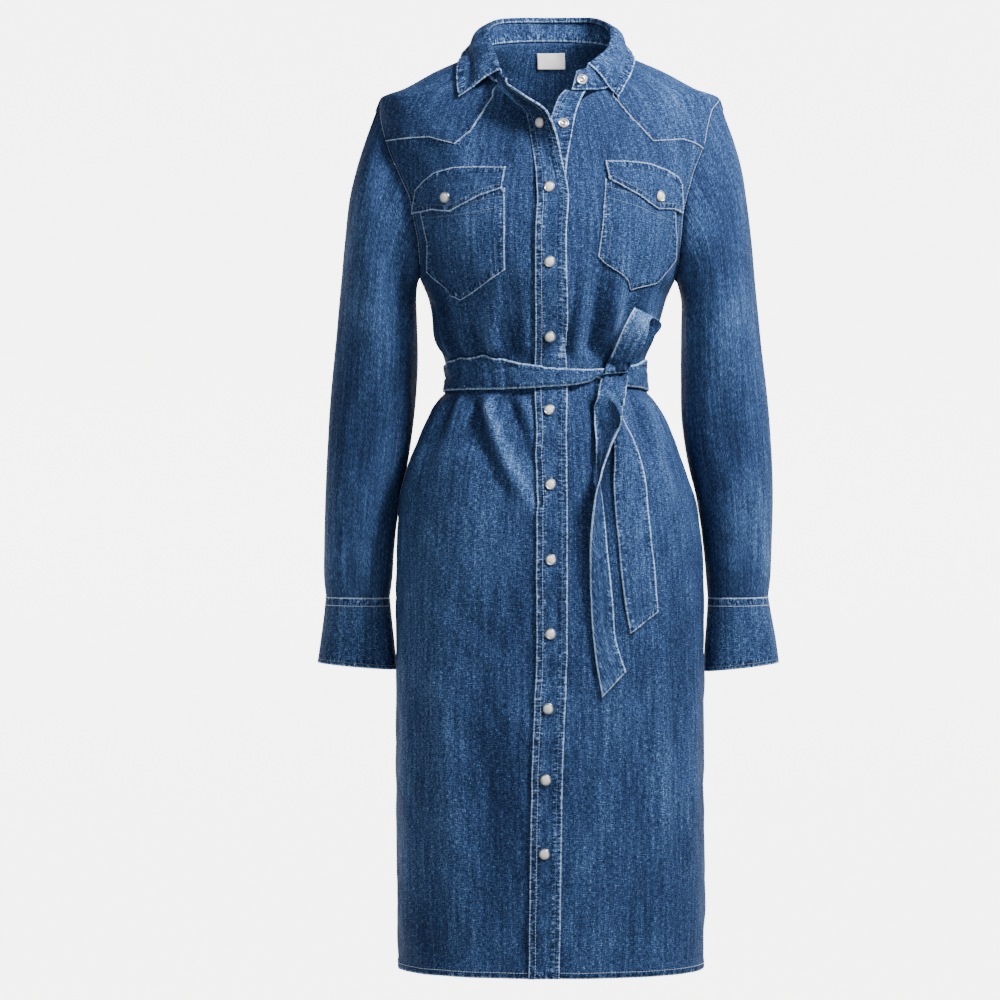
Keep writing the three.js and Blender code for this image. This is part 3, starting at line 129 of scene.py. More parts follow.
# Folds of the body: where round it (degrees from the front), how far that moves per 100 mm down,
# top and bottom heights, half width in degrees, how far out (or in), and how much sharper its
# far side is
FOLDS = [
    # above the sash, front
    (-78, 1, -262, -338, 4, 2.6, 1.0), (-66, 2, -240, -338, 5, 3.4, 0.7),
    (-56, 1, -268, -338, 3.4, -2.6, 1.0), (-47, 1, -228, -338, 4.6, 3.6, 1.4),
    (-36, 0, -280, -338, 3.2, -2.2, 1.0), (-28, 0, -256, -338, 4.6, 2.8, 0.8),
    (-17, 1, -290, -338, 3, -2.2, 1.0), (20, 3, -170, -338, 4.4, -5.0, 0.8),
    (29, 3, -186, -338, 4.4, 4.2, 1.3), (40, 4, -205, -338, 4.6, -3.8, 1.0),
    (50, 5, -228, -338, 4.2, 2.8, 1.0), (61, 4, -232, -338, 5.4, 3.6, 0.7),
    (74, 3, -262, -338, 4, -2.2, 1.0), (-60, -14, -196, -262, 9, 1.8, 1.0),
    (58, 16, -188, -262, 9, 2.0, 1.0), (-12, 2, -180, -338, 2.2, 2.0, 1.0),
    (11.5, -1, -200, -338, 2.4, -2.0, 1.0), (16, -2, -215, -338, 2.2, 2.2, 1.0),
    (-23, -3, -215, -338, 3.0, 2.0, 0.7), (-52, 2, -150, -300, 2.2, 2.2, 1.0),
    (-58, 2, -150, -300, 3.6, -2.4, 1.0), (35, -6, -225, -338, 2.6, 2.2, 1.0),
    (-8, -3, -60, -150, 5, 1.2, 1.0), (30, 10, -60, -160, 6, 1.5, 1.0), (48, -8, -60, -150, 5, -1.4, 1.0),
    (-40, 8, -60, -150, 6, 1.4, 1.0),
    # below the sash, front
    (-76, -2, -376, -470, 4.2, 2.6, 1.0), (-64, -3, -376, -530, 5, 3.4, 0.8),
    (-55, -2, -376, -440, 3.4, -2.4, 1.0), (-50, 4, -376, -480, 4.0, 2.2, 1.2),
    (-31, 21, -376, -540, 4.2, 6.4, 0.6), (-41, 25, -376, -510, 4.4, -3.8, 1.0),
    (-20, 20, -376, -470, 3.0, -2.8, 1.0), (-12, 12, -376, -455, 2.3, 2.8, 1.0),
    (-14, 8, -440, -640, 5, 2.2, 1.0), (24, -2, -376, -600, 4.8, -5.2, 1.0),
    (33, -1, -376, -520, 4, 3.0, 1.0), (47, -3, -376, -470, 4.2, -2.2, 1.0),
    (58, -5, -376, -520, 5, 3.4, 1.2), (70, -4, -376, -470, 4.6, 2.4, 1.0),
    # soft, long ones down the skirt
    (42, 1, -600, -960, 6, 3.0, 0.6), (-46, 3, -560, -990, 10, 2.8, 1.0),
    (-24, 2, -640, -1000, 8, -1.8, 1.0), (-68, 1, -620, -1000, 9, 2.0, 1.0),
    (22, -1, -700, -1000, 9, 1.6, 1.0), (66, -1, -560, -1000, 9, 2.2, 1.0),
    (-34, 7, -430, -760, 12, 1.8, 1.0),
    # back
    (104, 2, -250, -338, 4.4, 2.6, 1.0), (116, 2, -240, -338, 5, 3.2, 0.8),
    (128, 1, -262, -338, 4, -2.6, 1.0), (139, 1, -222, -338, 5, 3.8, 1.2),
    (152, 0, -270, -338, 4, -2.2, 1.0), (164, -1, -246, -338, 5, 3.0, 1.0),
    (180, 0, -280, -338, 4, -2.0, 1.0), (196, 1, -240, -338, 5, 3.2, 1.0),
    (210, 0, -266, -338, 4, -2.4, 1.0), (224, -1, -225, -338, 5, 3.6, 0.8),
    (238, -1, -262, -338, 4, -2.2, 1.0), (251, -2, -246, -338, 5, 3.0, 1.0),
    (106, -3, -378, -500, 4.6, 2.8, 1.0), (121, -4, -378, -570, 5.4, 3.8, 0.8),
    (135, -3, -378, -470, 4, -2.6, 1.0), (150, -3, -378, -660, 6, 4.4, 1.3),
    (166, -1, -378, -500, 4.6, -2.8, 1.0), (182, 0, -378, -540, 5, 3.2, 1.0),
    (199, 1, -378, -480, 4.4, -2.6, 1.0), (213, 3, -378, -680, 6, 4.2, 0.8),
    (229, 3, -378, -490, 4.4, -2.4, 1.0), (243, 4, -378, -560, 5.4, 3.6, 1.0),
    (256, 3, -378, -470, 4.4, 2.4, 1.0), (164, -2, -640, -1000, 10, 2.8, 1.0),
    (206, 2, -660, -1000, 10, 2.8, 1.0), (132, -1, -600, -1000, 9, 2.2, 1.0),
    (236, 1, -620, -1000, 9, 2.2, 1.0),
]


def curve(table, over, column):
    """A smooth reading of one column of a table over another, with no overshoot."""
    xs, ys = np.array(table[over], float), np.array(table[column], float)
    if xs[0] > xs[-1]:
        xs, ys = xs[::-1], ys[::-1]
    step = np.diff(xs)
    slope = np.diff(ys) / step
    both = slope[:-1] * slope[1:]
    inner = np.where(both > 0, 2 * both / np.where(both > 0, slope[:-1] + slope[1:], 1), 0)
    tangent = np.r_[slope[0], inner, slope[-1]]

    def value(at):
        at = np.clip(at, xs[0], xs[-1])
        k = np.clip(np.searchsorted(xs, at) - 1, 0, len(step) - 1)
        t = (at - xs[k]) / step[k]
        rise = ys[k + 1] - ys[k]
        a = tangent[k] * step[k] - rise
        b = rise - tangent[k + 1] * step[k]
        return ys[k] + t * rise + t * (1 - t) * (a * (1 - t) + b * t)
    return value


body = {name: curve(BODY, "z", name) for name in BODY if name != "z"}
armhole_out = {name: curve(ARMHOLE, "z", name) for name in ("right", "left", "back")}
right_open = {name: curve(RIGHT_OPENING, "z", name) for name in ("seam", "edge", "turn")}
left_open = {name: curve(LEFT_OPENING, "z", name) for name in ("seam", "edge")}
placket_x = curve(PLACKET_LINE, "z", "x")
neck_height = curve(NECKLINE, "at", "z")
neck_angle = curve(NECKLINE, "z", "at")


def mix(a, b, t):
    return a + (b - a) * t


def smooth(t):
    t = np.clip(t, 0, 1)
    return t * t * (3 - 2 * t)


def signed_power(x, p):
    return np.sign(x) * np.abs(x) ** p


def unit(vectors):
    return vectors / np.maximum(np.linalg.norm(vectors, axis=-1, keepdims=True), 1e-9)


def folds_at(angle, z):
    """How far the folds stand out at each angle and height."""
    degrees = np.degrees(angle)
    total = np.zeros(np.broadcast(angle, z).shape)
    for at, drift, top, bottom, width, depth, lean in FOLDS:
        line = at + drift * (top - z) / 100
        away = (degrees - line + 540) % 360 - 180
        away = away / (width * np.where(away > 0, lean, 1.0))
        down = np.clip((top - z) / (top - bottom), 0, 1)
        if top < LONG_FOLDS_Z:
            strength = np.sin(math.pi * down)
        elif top > BODICE_FOOT_Z:
            strength = smooth(down * 1.6) * (0.25 + 0.75 * down)
        else:
            strength = (1 - down) ** 0.8 * (1.25 - 0.25 * down)
        ends = smooth(np.minimum(z - bottom, top - z) / 16)
        total += np.where((z < top) & (z > bottom), depth * np.exp(-away * away) * strength * ends, 0)
    near_sash = np.exp(-((z - SASH_Z) / 60) ** 2) * smooth((np.abs(np.cos(angle)) - 0.3) / 0.4)
    along = ROUND * angle
    gathers = np.sin(0.43 * along + 2.2 * np.sin(0.05 * along)) * (0.6 + 0.4 * np.sin(0.11 * along + 1))
    above = smooth((z - BODICE_FOOT_Z) / 20)
    return total * (1.3 + 0.45 * above + 0.3 * near_sash) + 0.75 * gathers * near_sash ** 2


# Long waves of the cloth: slant, how fast round the body, where they start and how strong
WAVES = [(rng.uniform(-1, 1), rng.uniform(0.3, 1), rng.uniform(0, 6.3), rng.uniform(0.5, 1))
         for _ in range(16)]


def unevenness(angle, z):
    """The slight waviness of washed cloth."""
    total = 0
    for k, (slant, rise, phase, strength) in enumerate(WAVES):
        fine = 0.03 + 0.011 * k
        run = fine * (ROUND * angle * (1.6 - rise) + slant * z)
        total = total + strength * np.sin(run + rise * 3 * np.sin(0.01 * z) + phase)
    return 0.17 * total


def opening(table, name, z):
    return table[name](np.clip(z, *OPENING_Z))


def skin(angle, z, turned=False, folded=True):
    """The body's cloth before it has a thickness."""
    sin, cos = np.sin(angle), np.cos(angle)
    depth = np.where(cos > 0, body["front"](z), body["back"](z))
    p = 2 / body["power"](z)
    x = body["centre_x"](z) + body["half"](z) * signed_power(sin, p)
    y = body["centre_y"](z) - depth * signed_power(cos, p)
    if turned:
        y = y - turn_at(x, z)
    if folded:
        out = folds_at(angle, z) + unevenness(angle, z) * smooth((-z - 5) / 40)
        x = x + out * sin
        y = y - out * cos
    return np.stack(np.broadcast_arrays(x, y, z), axis=-1)


def view_of(z):
    """How near the front's middle is, and the height it is seen at."""
    near = (VIEW_DISTANCE + skin(0 * z, z, folded=False)[..., 1]) / VIEW_DISTANCE
    return near, VIEW_HEIGHT + (z - VIEW_HEIGHT) / near


def placed(x, near):
    """A distance across as seen, brought to where it really is."""
    return VIEW_X + (x - VIEW_X) * near


def turn_at(x, z):
    """How far the open right front has swung forward near its edge."""
    near, seen_z = view_of(z)
    seam = placed(opening(right_open, "seam", seen_z), near)
    edge = placed(opening(right_open, "edge", seen_z), near)
    turn = opening(right_open, "turn", seen_z)
    across = (x - seam) / np.maximum(edge - seam, 3)
    lead = LEAD * smooth((x - seam + 34) / 34) * turn / 33
    return lead + turn * np.clip(across, 0, 1.1)


def normal_at(angle, z, turned=False):
    e, h = 0.006, 1.0
    across = skin(angle + e, z, turned) - skin(angle - e, z, turned)
    up = skin(angle, z + h, turned) - skin(angle, z - h, turned)
    return unit(np.cross(across, up))


def on_body(angle, z, lift, turned=False):
    angle, z = np.broadcast_arrays(np.asarray(angle, float), np.asarray(z, float))
    return skin(angle, z, turned) + normal_at(angle, z, turned) * np.asarray(lift)[..., None]


def in_front(angle, z, lift):
    """A point that stands off the front by lift, straight towards the viewer."""
    points = skin(angle, z)
    away = np.asarray(lift) / np.maximum(-normal_at(angle, z)[..., 1], 0.5)
    return points - away[..., None] * np.array([0, 1, 0])


def angle_of(x, z):
    share = np.clip((x - body["centre_x"](z)) / body["half"](z), -1, 1)
    return np.arcsin(np.clip(signed_power(share, body["power"](z) / 2), -1, 1))


def seen(x, z):
    """A point of the front given as seen, as an angle and height on the cloth."""
    px, pz = x, z
    for _ in range(3):
        near = (VIEW_DISTANCE + skin(angle_of(px, pz), pz, folded=False)[..., 1]) / VIEW_DISTANCE
        px = placed(x, near)
        pz = VIEW_HEIGHT + (z - VIEW_HEIGHT) * near
    return angle_of(px, pz), pz


def chain(points):
    """A run of straight lines through points, read evenly by length."""
    points = np.array(points, float)
    along = np.r_[0, np.cumsum(np.linalg.norm(np.diff(points, axis=0), axis=1))]
    along /= along[-1]
    return lambda t: (np.interp(t, along, points[:, 0]), np.interp(t, along, points[:, 1]))


def patch(bottom, top, left, right):
    """A four-sided patch between its sides, each a pair of flat values over 0 to 1."""
    def at(u, v):
        sides = bottom(u), top(u), left(v), right(v)
        corners = bottom(0 * u), bottom(0 * u + 1), top(0 * u), top(0 * u + 1)
        return tuple(
            mix(sides[0][k], sides[1][k], v) + mix(sides[2][k], sides[3][k], u)
            - mix(mix(corners[0][k], corners[1][k], u), mix(corners[2][k], corners[3][k], u), v)
            for k in (0, 1))
    return at


# Materials: the dye from deep indigo to nearly white, and where on it plain cloth lies
DENIM = [(0.0, (0.004, 0.009, 0.028)), (0.25, (0.011, 0.023, 0.066)), (0.42, (0.022, 0.049, 0.128)),
         (0.6, (0.051, 0.104, 0.245)), (0.8, (0.134, 0.234, 0.432)), (1.0, (0.360, 0.490, 0.700))]
TAPE = [(0.0, (0.66, 0.66, 0.63)), (0.55, (0.95, 0.95, 0.93))]
BASE_SHADE = 0.34


def node_tree(name):
    made_material = bpy.data.materials.new(name)
    made_material.use_nodes = True
    tree = made_material.node_tree
    return made_material, tree, tree.nodes["Principled BSDF"]


def wire(tree, node, inputs):
    """Gives a node its inputs, each a value or another node's output."""
    for key, value in inputs.items():
        if isinstance(value, bpy.types.NodeSocket):
            tree.links.new(value, node.inputs[key])
        else:
            node.inputs[key].default_value = value


def new_node(tree, kind, inputs=(), **settings):
    made_node = tree.nodes.new(kind)
    for key, value in settings.items():
        setattr(made_node, key, value)
    wire(tree, made_node, dict(inputs))
    return made_node


def flat_place(tree):
    """Where a point lies on the flat cloth, in metres."""
    return new_node(tree, "ShaderNodeUVMap", uv_map="cloth").outputs[0]


def solid_place(tree):
    return new_node(tree, "ShaderNodeTexCoord").outputs["Object"]


def reading(tree, label):
    """A value that the sheet's points carry."""
    return new_node(tree, "ShaderNodeAttribute", attribute_name=label).outputs["Fac"]


def maths(tree, kind, a, b, c=None):
    inputs = {0: a, 1: b}
    if c is not None:
        inputs[2] = c
    return new_node(tree, "ShaderNodeMath", inputs, operation=kind).outputs[0]


def noise(tree, where, scale, size=1.0, detail=2.0, rough=0.5):
    """Noise over where, stretched by scale, from 0 to 1."""
    stretched = new_node(tree, "ShaderNodeVectorMath", {0: where, 1: scale}, operation="MULTIPLY")
    made_node = new_node(tree, "ShaderNodeTexNoise", {
        "Vector": stretched.outputs[0], "Scale": size, "Detail": detail, "Roughness": rough})
    return made_node.outputs[0]


def ramp(tree, value, low, high, start=0.0, end=1.0):
    """Takes value from low..high smoothly to start..end."""
    made_node = new_node(tree, "ShaderNodeMapRange", {
        "Value": value, "From Min": low, "From Max": high, "To Min": start, "To Max": end},
        interpolation_type="SMOOTHSTEP")
    return made_node.outputs[0]


def coloured(tree, shade, stops):
    """Colours for a shade from 0 to 1, by stops of a place and a colour."""
    made_node = new_node(tree, "ShaderNodeValToRGB", {"Fac": shade})
    elements = made_node.color_ramp.elements
    for element, (place, colour) in zip(elements, (stops[0], stops[-1])):
        element.position, element.color = place, (*colour, 1)
    for place, colour in stops[1:-1]:
        elements.new(place).color = (*colour, 1)
    return made_node.outputs[0]


def relief(tree, height, strength, distance, **under):
    inputs = {"Height": height, "Strength": strength, "Distance": distance, **under}
    return new_node(tree, "ShaderNodeBump", inputs).outputs[0]


def centred(tree, value, strength, middle=0.5):
    """Value taken as plus or minus round its middle, times strength."""
    return maths(tree, "MULTIPLY", maths(tree, "SUBTRACT", value, middle), strength)


def denim(name, mottle, edge, blotch, faded=0.0, reach=4.5):
    """Washed twill: white showing through indigo, slubs along the warp, pale rubbed edges, a mottle by the
    seams that is partly painted shade in the puckers, and painted highlight and shade on folds.
    """
    made_material, tree, shader = node_tree(name)
    flat, solid = flat_place(tree), solid_place(tree)
    to_side, to_end, brightened = (reading(tree, label) for label in ("to_side", "to_end", "brightened"))
    slub = noise(tree, flat, (820, 200, 1), detail=3, rough=0.7)
    grain = noise(tree, flat, (1200, 1000, 1), detail=2)
    cross = noise(tree, flat, (230, 950, 1), detail=2)
    patches = noise(tree, solid, (60, 60, 45), detail=3, rough=0.6)
    streaks = noise(tree, flat, (260, 14, 1), detail=2.5, rough=0.6)
    cloud = noise(tree, solid, (9, 9, 6), detail=4, rough=0.6)
    twill = new_node(tree, "ShaderNodeTexWave", {"Vector": flat, "Scale": 640.0, "Distortion": 0.4},
                     wave_type="BANDS", bands_direction="DIAGONAL").outputs["Fac"]
    shade = maths(tree, "ADD", centred(tree, slub, 1.15), BASE_SHADE + faded)
    for pattern, strength in ((grain, 1.3), (cross, 0.9), (streaks, 0.55), (patches, blotch),
                              (cloud, 0.5), (twill, 0.05)):
        shade = maths(tree, "ADD", shade, centred(tree, pattern, strength))
    # Painted highlight on fold ridges and sleeve creases and painted shade in their grooves, read from the
    # points' brightening; the loop is brightened along its run too
    shade = maths(tree, "MULTIPLY_ADD", brightened, 0.13, shade)
    ripples = []
    # Beside edges and seams: pale rubbed edges, and the puckers' wash mottle, which is partly painted shade
    # in their troughs
    for distance, scale in ((to_side, (130, 400, 1)), (to_end, (400, 130, 1))):
        ticks = noise(tree, flat, scale, detail=2.5, rough=0.6)
        band = ramp(tree, distance, reach, reach + 3, 1.0, 0.0)
        pucker_mottle_and_shade = centred(tree, ticks, 2.4 * mottle, 0.51)
        shade = maths(tree, "ADD", shade, maths(tree, "MULTIPLY", pucker_mottle_and_shade, band))
        ragged = maths(tree, "ADD", distance, centred(tree, ticks, -1.2))
        shade = maths(tree, "ADD", shade, ramp(tree, ragged, 1.0, 2.3, edge, 0.0))
        ripples.append(maths(tree, "MULTIPLY", ticks, band))
    height = maths(tree, "MULTIPLY_ADD", slub, 0.6, maths(tree, "MULTIPLY", twill, 0.3))
    height = maths(tree, "MULTIPLY_ADD", grain, 0.5, height)
    weave = relief(tree, height, 0.7, 0.0005)
    crumple = relief(tree, maths(tree, "MULTIPLY_ADD", streaks, 0.3, patches), 0.9, 0.0035, Normal=weave)
    puckered = relief(tree, maths(tree, "ADD", *ripples), 0.8, 0.002, Normal=crumple)
    wire(tree, shader, {"Base Color": coloured(tree, shade, DENIM), "Normal": puckered, "Roughness": 0.88,
                        "Specular IOR Level": 0.08})
    return made_material


def plain(name, colour, rough, scale, change, metal=0.0, coat=0.0, depth=0.0001):
    """A material of one colour that varies a little over the piece."""
    made_material, tree, shader = node_tree(name)
    grain = noise(tree, solid_place(tree), (scale, scale, scale), detail=3)
    dark, pale = ((*[min(1, c * (1 + change * way)) for c in colour], 1) for way in (-1, 1))
    mixed = new_node(tree, "ShaderNodeMix", {"Factor": grain, 6: dark, 7: pale}, data_type="RGBA")
    wire(tree, shader, {"Base Color": mixed.outputs[2], "Normal": relief(tree, grain, 0.4, depth),
                        "Roughness": rough, "Metallic": metal, "Coat Weight": coat, "Coat Roughness": 0.12})
    return made_material


def label_cloth():
    """Satin-woven white tape."""
    made_material, tree, shader = node_tree("label_cloth")
    flat = flat_place(tree)
    rim = maths(tree, "MINIMUM", reading(tree, "to_side"), reading(tree, "to_end"))
    weft = noise(tree, flat, (300, 2600, 1), detail=1.5)
    soft = noise(tree, flat, (120, 90, 1), detail=2)
    shade = maths(tree, "MULTIPLY_ADD", weft, 0.3, maths(tree, "MULTIPLY", soft, 0.4))
    shade = maths(tree, "ADD", shade, ramp(tree, rim, 0.6, 1.8, -0.25, 0.12))
    wire(tree, shader, {"Base Color": coloured(tree, shade, TAPE), "Normal": relief(tree, weft, 0.4, 0.0002),
                        "Roughness": 0.6, "Sheen Weight": 0.2})
    return made_material


material = {
    "denim": denim("denim", 0.6, 0.42, 0.04),
    "band": denim("denim_band", 0.85, 0.46, 0.5, 0.02, 9.0),
    "cuff": denim("denim_cuff", 0.8, 0.42, 0.16, 0.07, 8.0),
    "pocket": denim("denim_pocket", 0.75, 0.34, 0.12, 0.02, 6.0),
    "sash": denim("denim_sash", 0.55, 0.55, 0.25, 0.06),
    "label": label_cloth(),
    "thread": plain("thread", (0.38, 0.46, 0.58), 0.7, 500, 0.3),
    "thread_faint": plain("thread_faint", (0.085, 0.135, 0.22), 0.8, 500, 0.4),
    "pearl": plain("pearl", (0.80, 0.80, 0.77), 0.18, 300, 0.5, coat=0.8),
    "metal": plain("snap_metal", (0.44, 0.43, 0.40), 0.3, 700, 0.25, metal=1.0, depth=0.00005),
}


# How the panels end on the body
def armhole_angle(z, side, on_back):
    """How far round from the middle of the front or back the armhole seam lies."""
    column = "back" if on_back else ("right" if side < 0 else "left")
    out = armhole_out[column](z)
    centre = 0 if on_back else side * body["centre_x"](z)
    share = np.clip((out - centre) / body["half"](z), 0, 1)
    return np.where(z <= ARMPIT_Z, math.pi / 2, np.arcsin(np.clip(share ** (body["power"](z) / 2), 0, 1)))


def edge_angle(edge):
    """Turns an edge given as seen into angles on the body at real heights."""
    def at(z):
        near, seen_z = view_of(z)
        return angle_of(placed(edge(seen_z), near), z)
    return at


def eased(z):
    return smooth((z + 200) / 50)


def band_line(offset, table, name):
    """A line beside the middle of the placket that runs on up the open neck."""
    return lambda z: mix(placket_x(z) + offset, opening(table, name, z), eased(z))


def right_front_edge(z):
    up = opening(right_open, "seam", z) - mix(1.6, 5, smooth((z + 75) / 25))
    return mix(placket_x(z) - PLACKET_WIDTH / 2 + OVERLAP, up, eased(z))


left_front_edge = band_line(14, left_open, "seam")
under_edge = band_line(-7.9, left_open, "edge")
placket_seam = band_line(-PLACKET_WIDTH / 2, right_open, "seam")
placket_edge = band_line(PLACKET_WIDTH / 2, right_open, "edge")


def neck_z(angle):
    """Height of the neckline at an angle round from the front."""
    at = np.abs(np.degrees(angle))
    behind = mix(NECK_BACK_Z, NECK_SIDE_Z, ((180 - at) / 90) ** 2)
    return np.where(at <= 90, neck_height(np.clip(at, 8, 90)), behind)


def seam_line(side, points, move):
    """A yoke seam from the armhole to the neck, moved up or down by part of the seam's gap."""
    flat = []
    for x, z in points:
        angle, height = seen(np.array(float(x)), np.array(float(z)))
        flat.append([float(angle) * ROUND, float(height)])
    flat[0][0] = side * float(armhole_angle(np.array(flat[0][1]), side, False)) * ROUND
    line = chain(flat)

    def at(t):
        x, z = line(t)
        ax, az = line(np.clip(t - 0.01, 0, 1))
        bx, bz = line(np.clip(t + 0.01, 0, 1))
        length = np.hypot(bx - ax, bz - az)
        return (x + side * (bz - az) / length * move) / ROUND, z - side * (bx - ax) / length * move
    return at


def hem_rise(z):
    return 0.8 * smooth((HEM_Z + 13 - z) / 2)


# Making pieces: the cloth's grids, every piece by name, and the stitching sewn on each
grids = {}
on_piece = {}

# How far off a side without an edge counts, the weave's length per radian round the body and how
# far the pockets' weave is shifted
NO_EDGE = 99.0
WEAVE_ROUND = 150
POCKET_SHIFT = 37


def add(name, data):
    shown = bpy.data.objects.new(name, data)
    bpy.context.scene.collection.objects.link(shown)
    return shown


def lengths(points, axis):
    """Distance along each row (axis 1) or column (axis 0) of a grid of points."""
    step = np.linalg.norm(np.diff(points, axis=axis), axis=2)
    return np.insert(np.cumsum(step, axis=axis), 0, 0, axis=axis)


def grid_normals(points, ring):
    """Unit normals of a grid of points, pointing out when columns run to the wearer's left."""
    if ring:
        across = np.roll(points, -1, axis=1) - np.roll(points, 1, axis=1)
    else:
        across = np.gradient(points, axis=1)
    along = np.gradient(points, axis=0)
    return unit(np.cross(across, along))


def finish_mesh(name, form, place, replaced, materials):
    """Turns a bmesh in millimetres into an object that stands for its CAD nodes."""
    mesh = bpy.data.meshes.new(name)
    form.to_mesh(mesh)
    form.free()
    for value in materials:
        mesh.materials.append(value)
    made_piece = add(name, mesh)
    if place:
        place(mesh)
    mesh.shade_smooth()
    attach(made_piece, "root")
    if replaced:
        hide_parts(*replaced)
    return made_piece


def cloth(name, across, along, shape, thick, ring=False, edges="lrbt", offset=-1, surface="denim",
          brighten=None, out=1):
    """A sheet of cloth. shape(u, v) gives the points of its outer face on a grid, in mm;
    edges are the sides with a rubbed fold or seam; brighten gives how much paler each point is painted,
    darker where below 0, which folds use for painted highlight and shade; out is -1 where the grid faces
    inwards."""
    columns = across if ring else across + 1
    u = np.arange(columns) / across
    v = np.arange(along + 1) / along
    u, v = np.meshgrid(u, v)
    points = shape(u, v)
    normals = grid_normals(points, ring) * out
    over, up = lengths(points, 1), lengths(points, 0)
    grids[name] = {"points": points, "normals": normals, "over": over, "up": up, "ring": ring}
    near = {"l": over, "r": over[:, -1:] - over, "b": up, "t": up[-1:] - up}
    far = np.full(over.shape, NO_EDGE)
    to_side = np.minimum.reduce([far, *(near[side] for side in edges if side in "lr")])
    to_end = np.minimum.reduce([far, *(near[side] for side in edges if side in "bt")])
    brightened = np.zeros(over.shape) if brighten is None else brighten(u, v, points)

    form = bmesh.new()
    bmesh.ops.create_grid(form, x_segments=across, y_segments=along, size=0.5)

    def place(mesh):
        count = len(mesh.vertices)
        flat = np.empty(count * 3)
        mesh.vertices.foreach_get("co", flat)
        flat = flat.reshape(-1, 3)
        i = np.rint((flat[:, 1] + 0.5) * along).astype(int)
        j = np.rint((flat[:, 0] + 0.5) * across).astype(int)
        column = j % across if ring else j
        mesh.vertices.foreach_set("co", (points[i, column] * MM).ravel())
        for label, values in (("to_side", to_side), ("to_end", to_end), ("brightened", brightened)):
            layer = mesh.attributes.new(label, "FLOAT", "POINT")
            layer.data.foreach_set("value", values[i, column].astype(np.float32))
        corner = np.empty(len(mesh.loops), dtype=np.int32)
        mesh.loops.foreach_get("vertex_index", corner)
        last, rise = np.linalg.norm(points[:, 0] - points[:, -1], axis=1), up
        wide = np.c_[over, over[:, -1] + last] if ring else over
        if ring or surface == "band":
            wide = wide.mean(axis=0) + 0 * wide
        elif surface in ("denim", "pocket"):
            ahead = DEPTH_SHARE if "back" in name else -DEPTH_SHARE
            wide = WEAVE_ROUND * np.arctan2(points[..., 0], ahead * points[..., 1])
            wide = wide + POCKET_SHIFT * (surface == "pocket")
            rise = points[..., 2]
        flat_uv = np.stack([wide[i, j], rise[i, column]], axis=1)[corner] * MM
        coordinates = mesh.uv_layers.new(name="cloth")
        coordinates.data.foreach_set("uv", flat_uv.astype(np.float32).ravel())
        again = bmesh.new()
        again.from_mesh(mesh)
        if ring:
            bmesh.ops.remove_doubles(again, verts=again.verts, dist=1e-6)
        if out < 0:
            bmesh.ops.reverse_faces(again, faces=again.faces)
        again.to_mesh(mesh)
        again.free()

    sheet = finish_mesh(name, form, place, [name], [material[surface]])
    solid = sheet.modifiers.new("thickness", "SOLIDIFY")
    solid.thickness = thick * MM
    solid.offset = offset
    solid.use_even_offset = False
    return sheet


def painted_fold_light(u, v, points):
    """Painted highlight on the folds and painted shade in the grooves, by how far the cloth stands out
    there.
    """
    angle = np.arctan2(points[..., 0], -points[..., 1] * DEPTH_SHARE)
    return folds_at(angle, points[..., 2]) / 5


# Panels and yokes
LIFT_LAP = 0.9


def front_panel(name, side, edge, yoke_seam, turned):
    outer = lambda z: side * (armhole_angle(z, side, False) - GAP / 2 / ROUND)
    inner = edge_angle(edge)
    seam = seam_line(side, yoke_seam, 2.2)
    base = PANEL_BASE_Z
    top = lambda u: seam(1 - u)
    split = 0.76

    def shape(u, v):
        low_z = mix(HEM_Z, base, np.clip(v / split, 0, 1))
        low_angle = mix(inner(low_z), outer(low_z), u)
        w = np.clip((v - split) / (1 - split), 0, 1)
        start, end = top(u * 0)[1], top(u * 0 + 1)[1]
        corner = top(u * 0)[0] - inner(start)
        middle = lambda t: (inner(mix(base, start, t)) + corner * smooth((t - 0.87) / 0.13),
                            mix(base, start, t))
        arm = lambda t: (outer(mix(base, end, t)), mix(base, end, t))
        bottom = lambda t: (mix(inner(base + 0 * t), outer(base + 0 * t), t), base + 0 * t)
        high_angle, high_z = patch(bottom, top, middle, arm)(u, w)
        above = v > split
        angle, z = np.where(above, high_angle, low_angle), np.where(above, high_z, low_z)
        return on_body(angle, z, CLOTH + hem_rise(z), turned)
    return cloth(name, 84, 250, shape, ONE_LAYER, edges="b", brighten=painted_fold_light, out=side)


def back_yoke_seam(share):
    return np.interp(np.abs(share), BACK_YOKE["share"], BACK_YOKE["z"])


def back_panel():
    base = PANEL_BASE_Z
    split = 0.86

    def shape(u, v):
        share = 2 * u - 1
        low_z = mix(HEM_Z, base, np.clip(v / split, 0, 1))
        w = np.clip((v - split) / (1 - split), 0, 1)
        z = np.where(v > split, mix(base, back_yoke_seam(share) + 2.4, w), low_z)
        side = np.where(share < 0, -1, 1)
        reach = armhole_angle(z, 1, True) - GAP / 2 / ROUND
        return on_body(math.pi - share * reach, z, CLOTH + hem_rise(z))
    return cloth("back", 150, 220, shape, ONE_LAYER, edges="b", brighten=painted_fold_light, out=-1)


SHOULDER_ANGLE = math.pi / 2 - 0.002
NECK_SHARE = 6 / 14


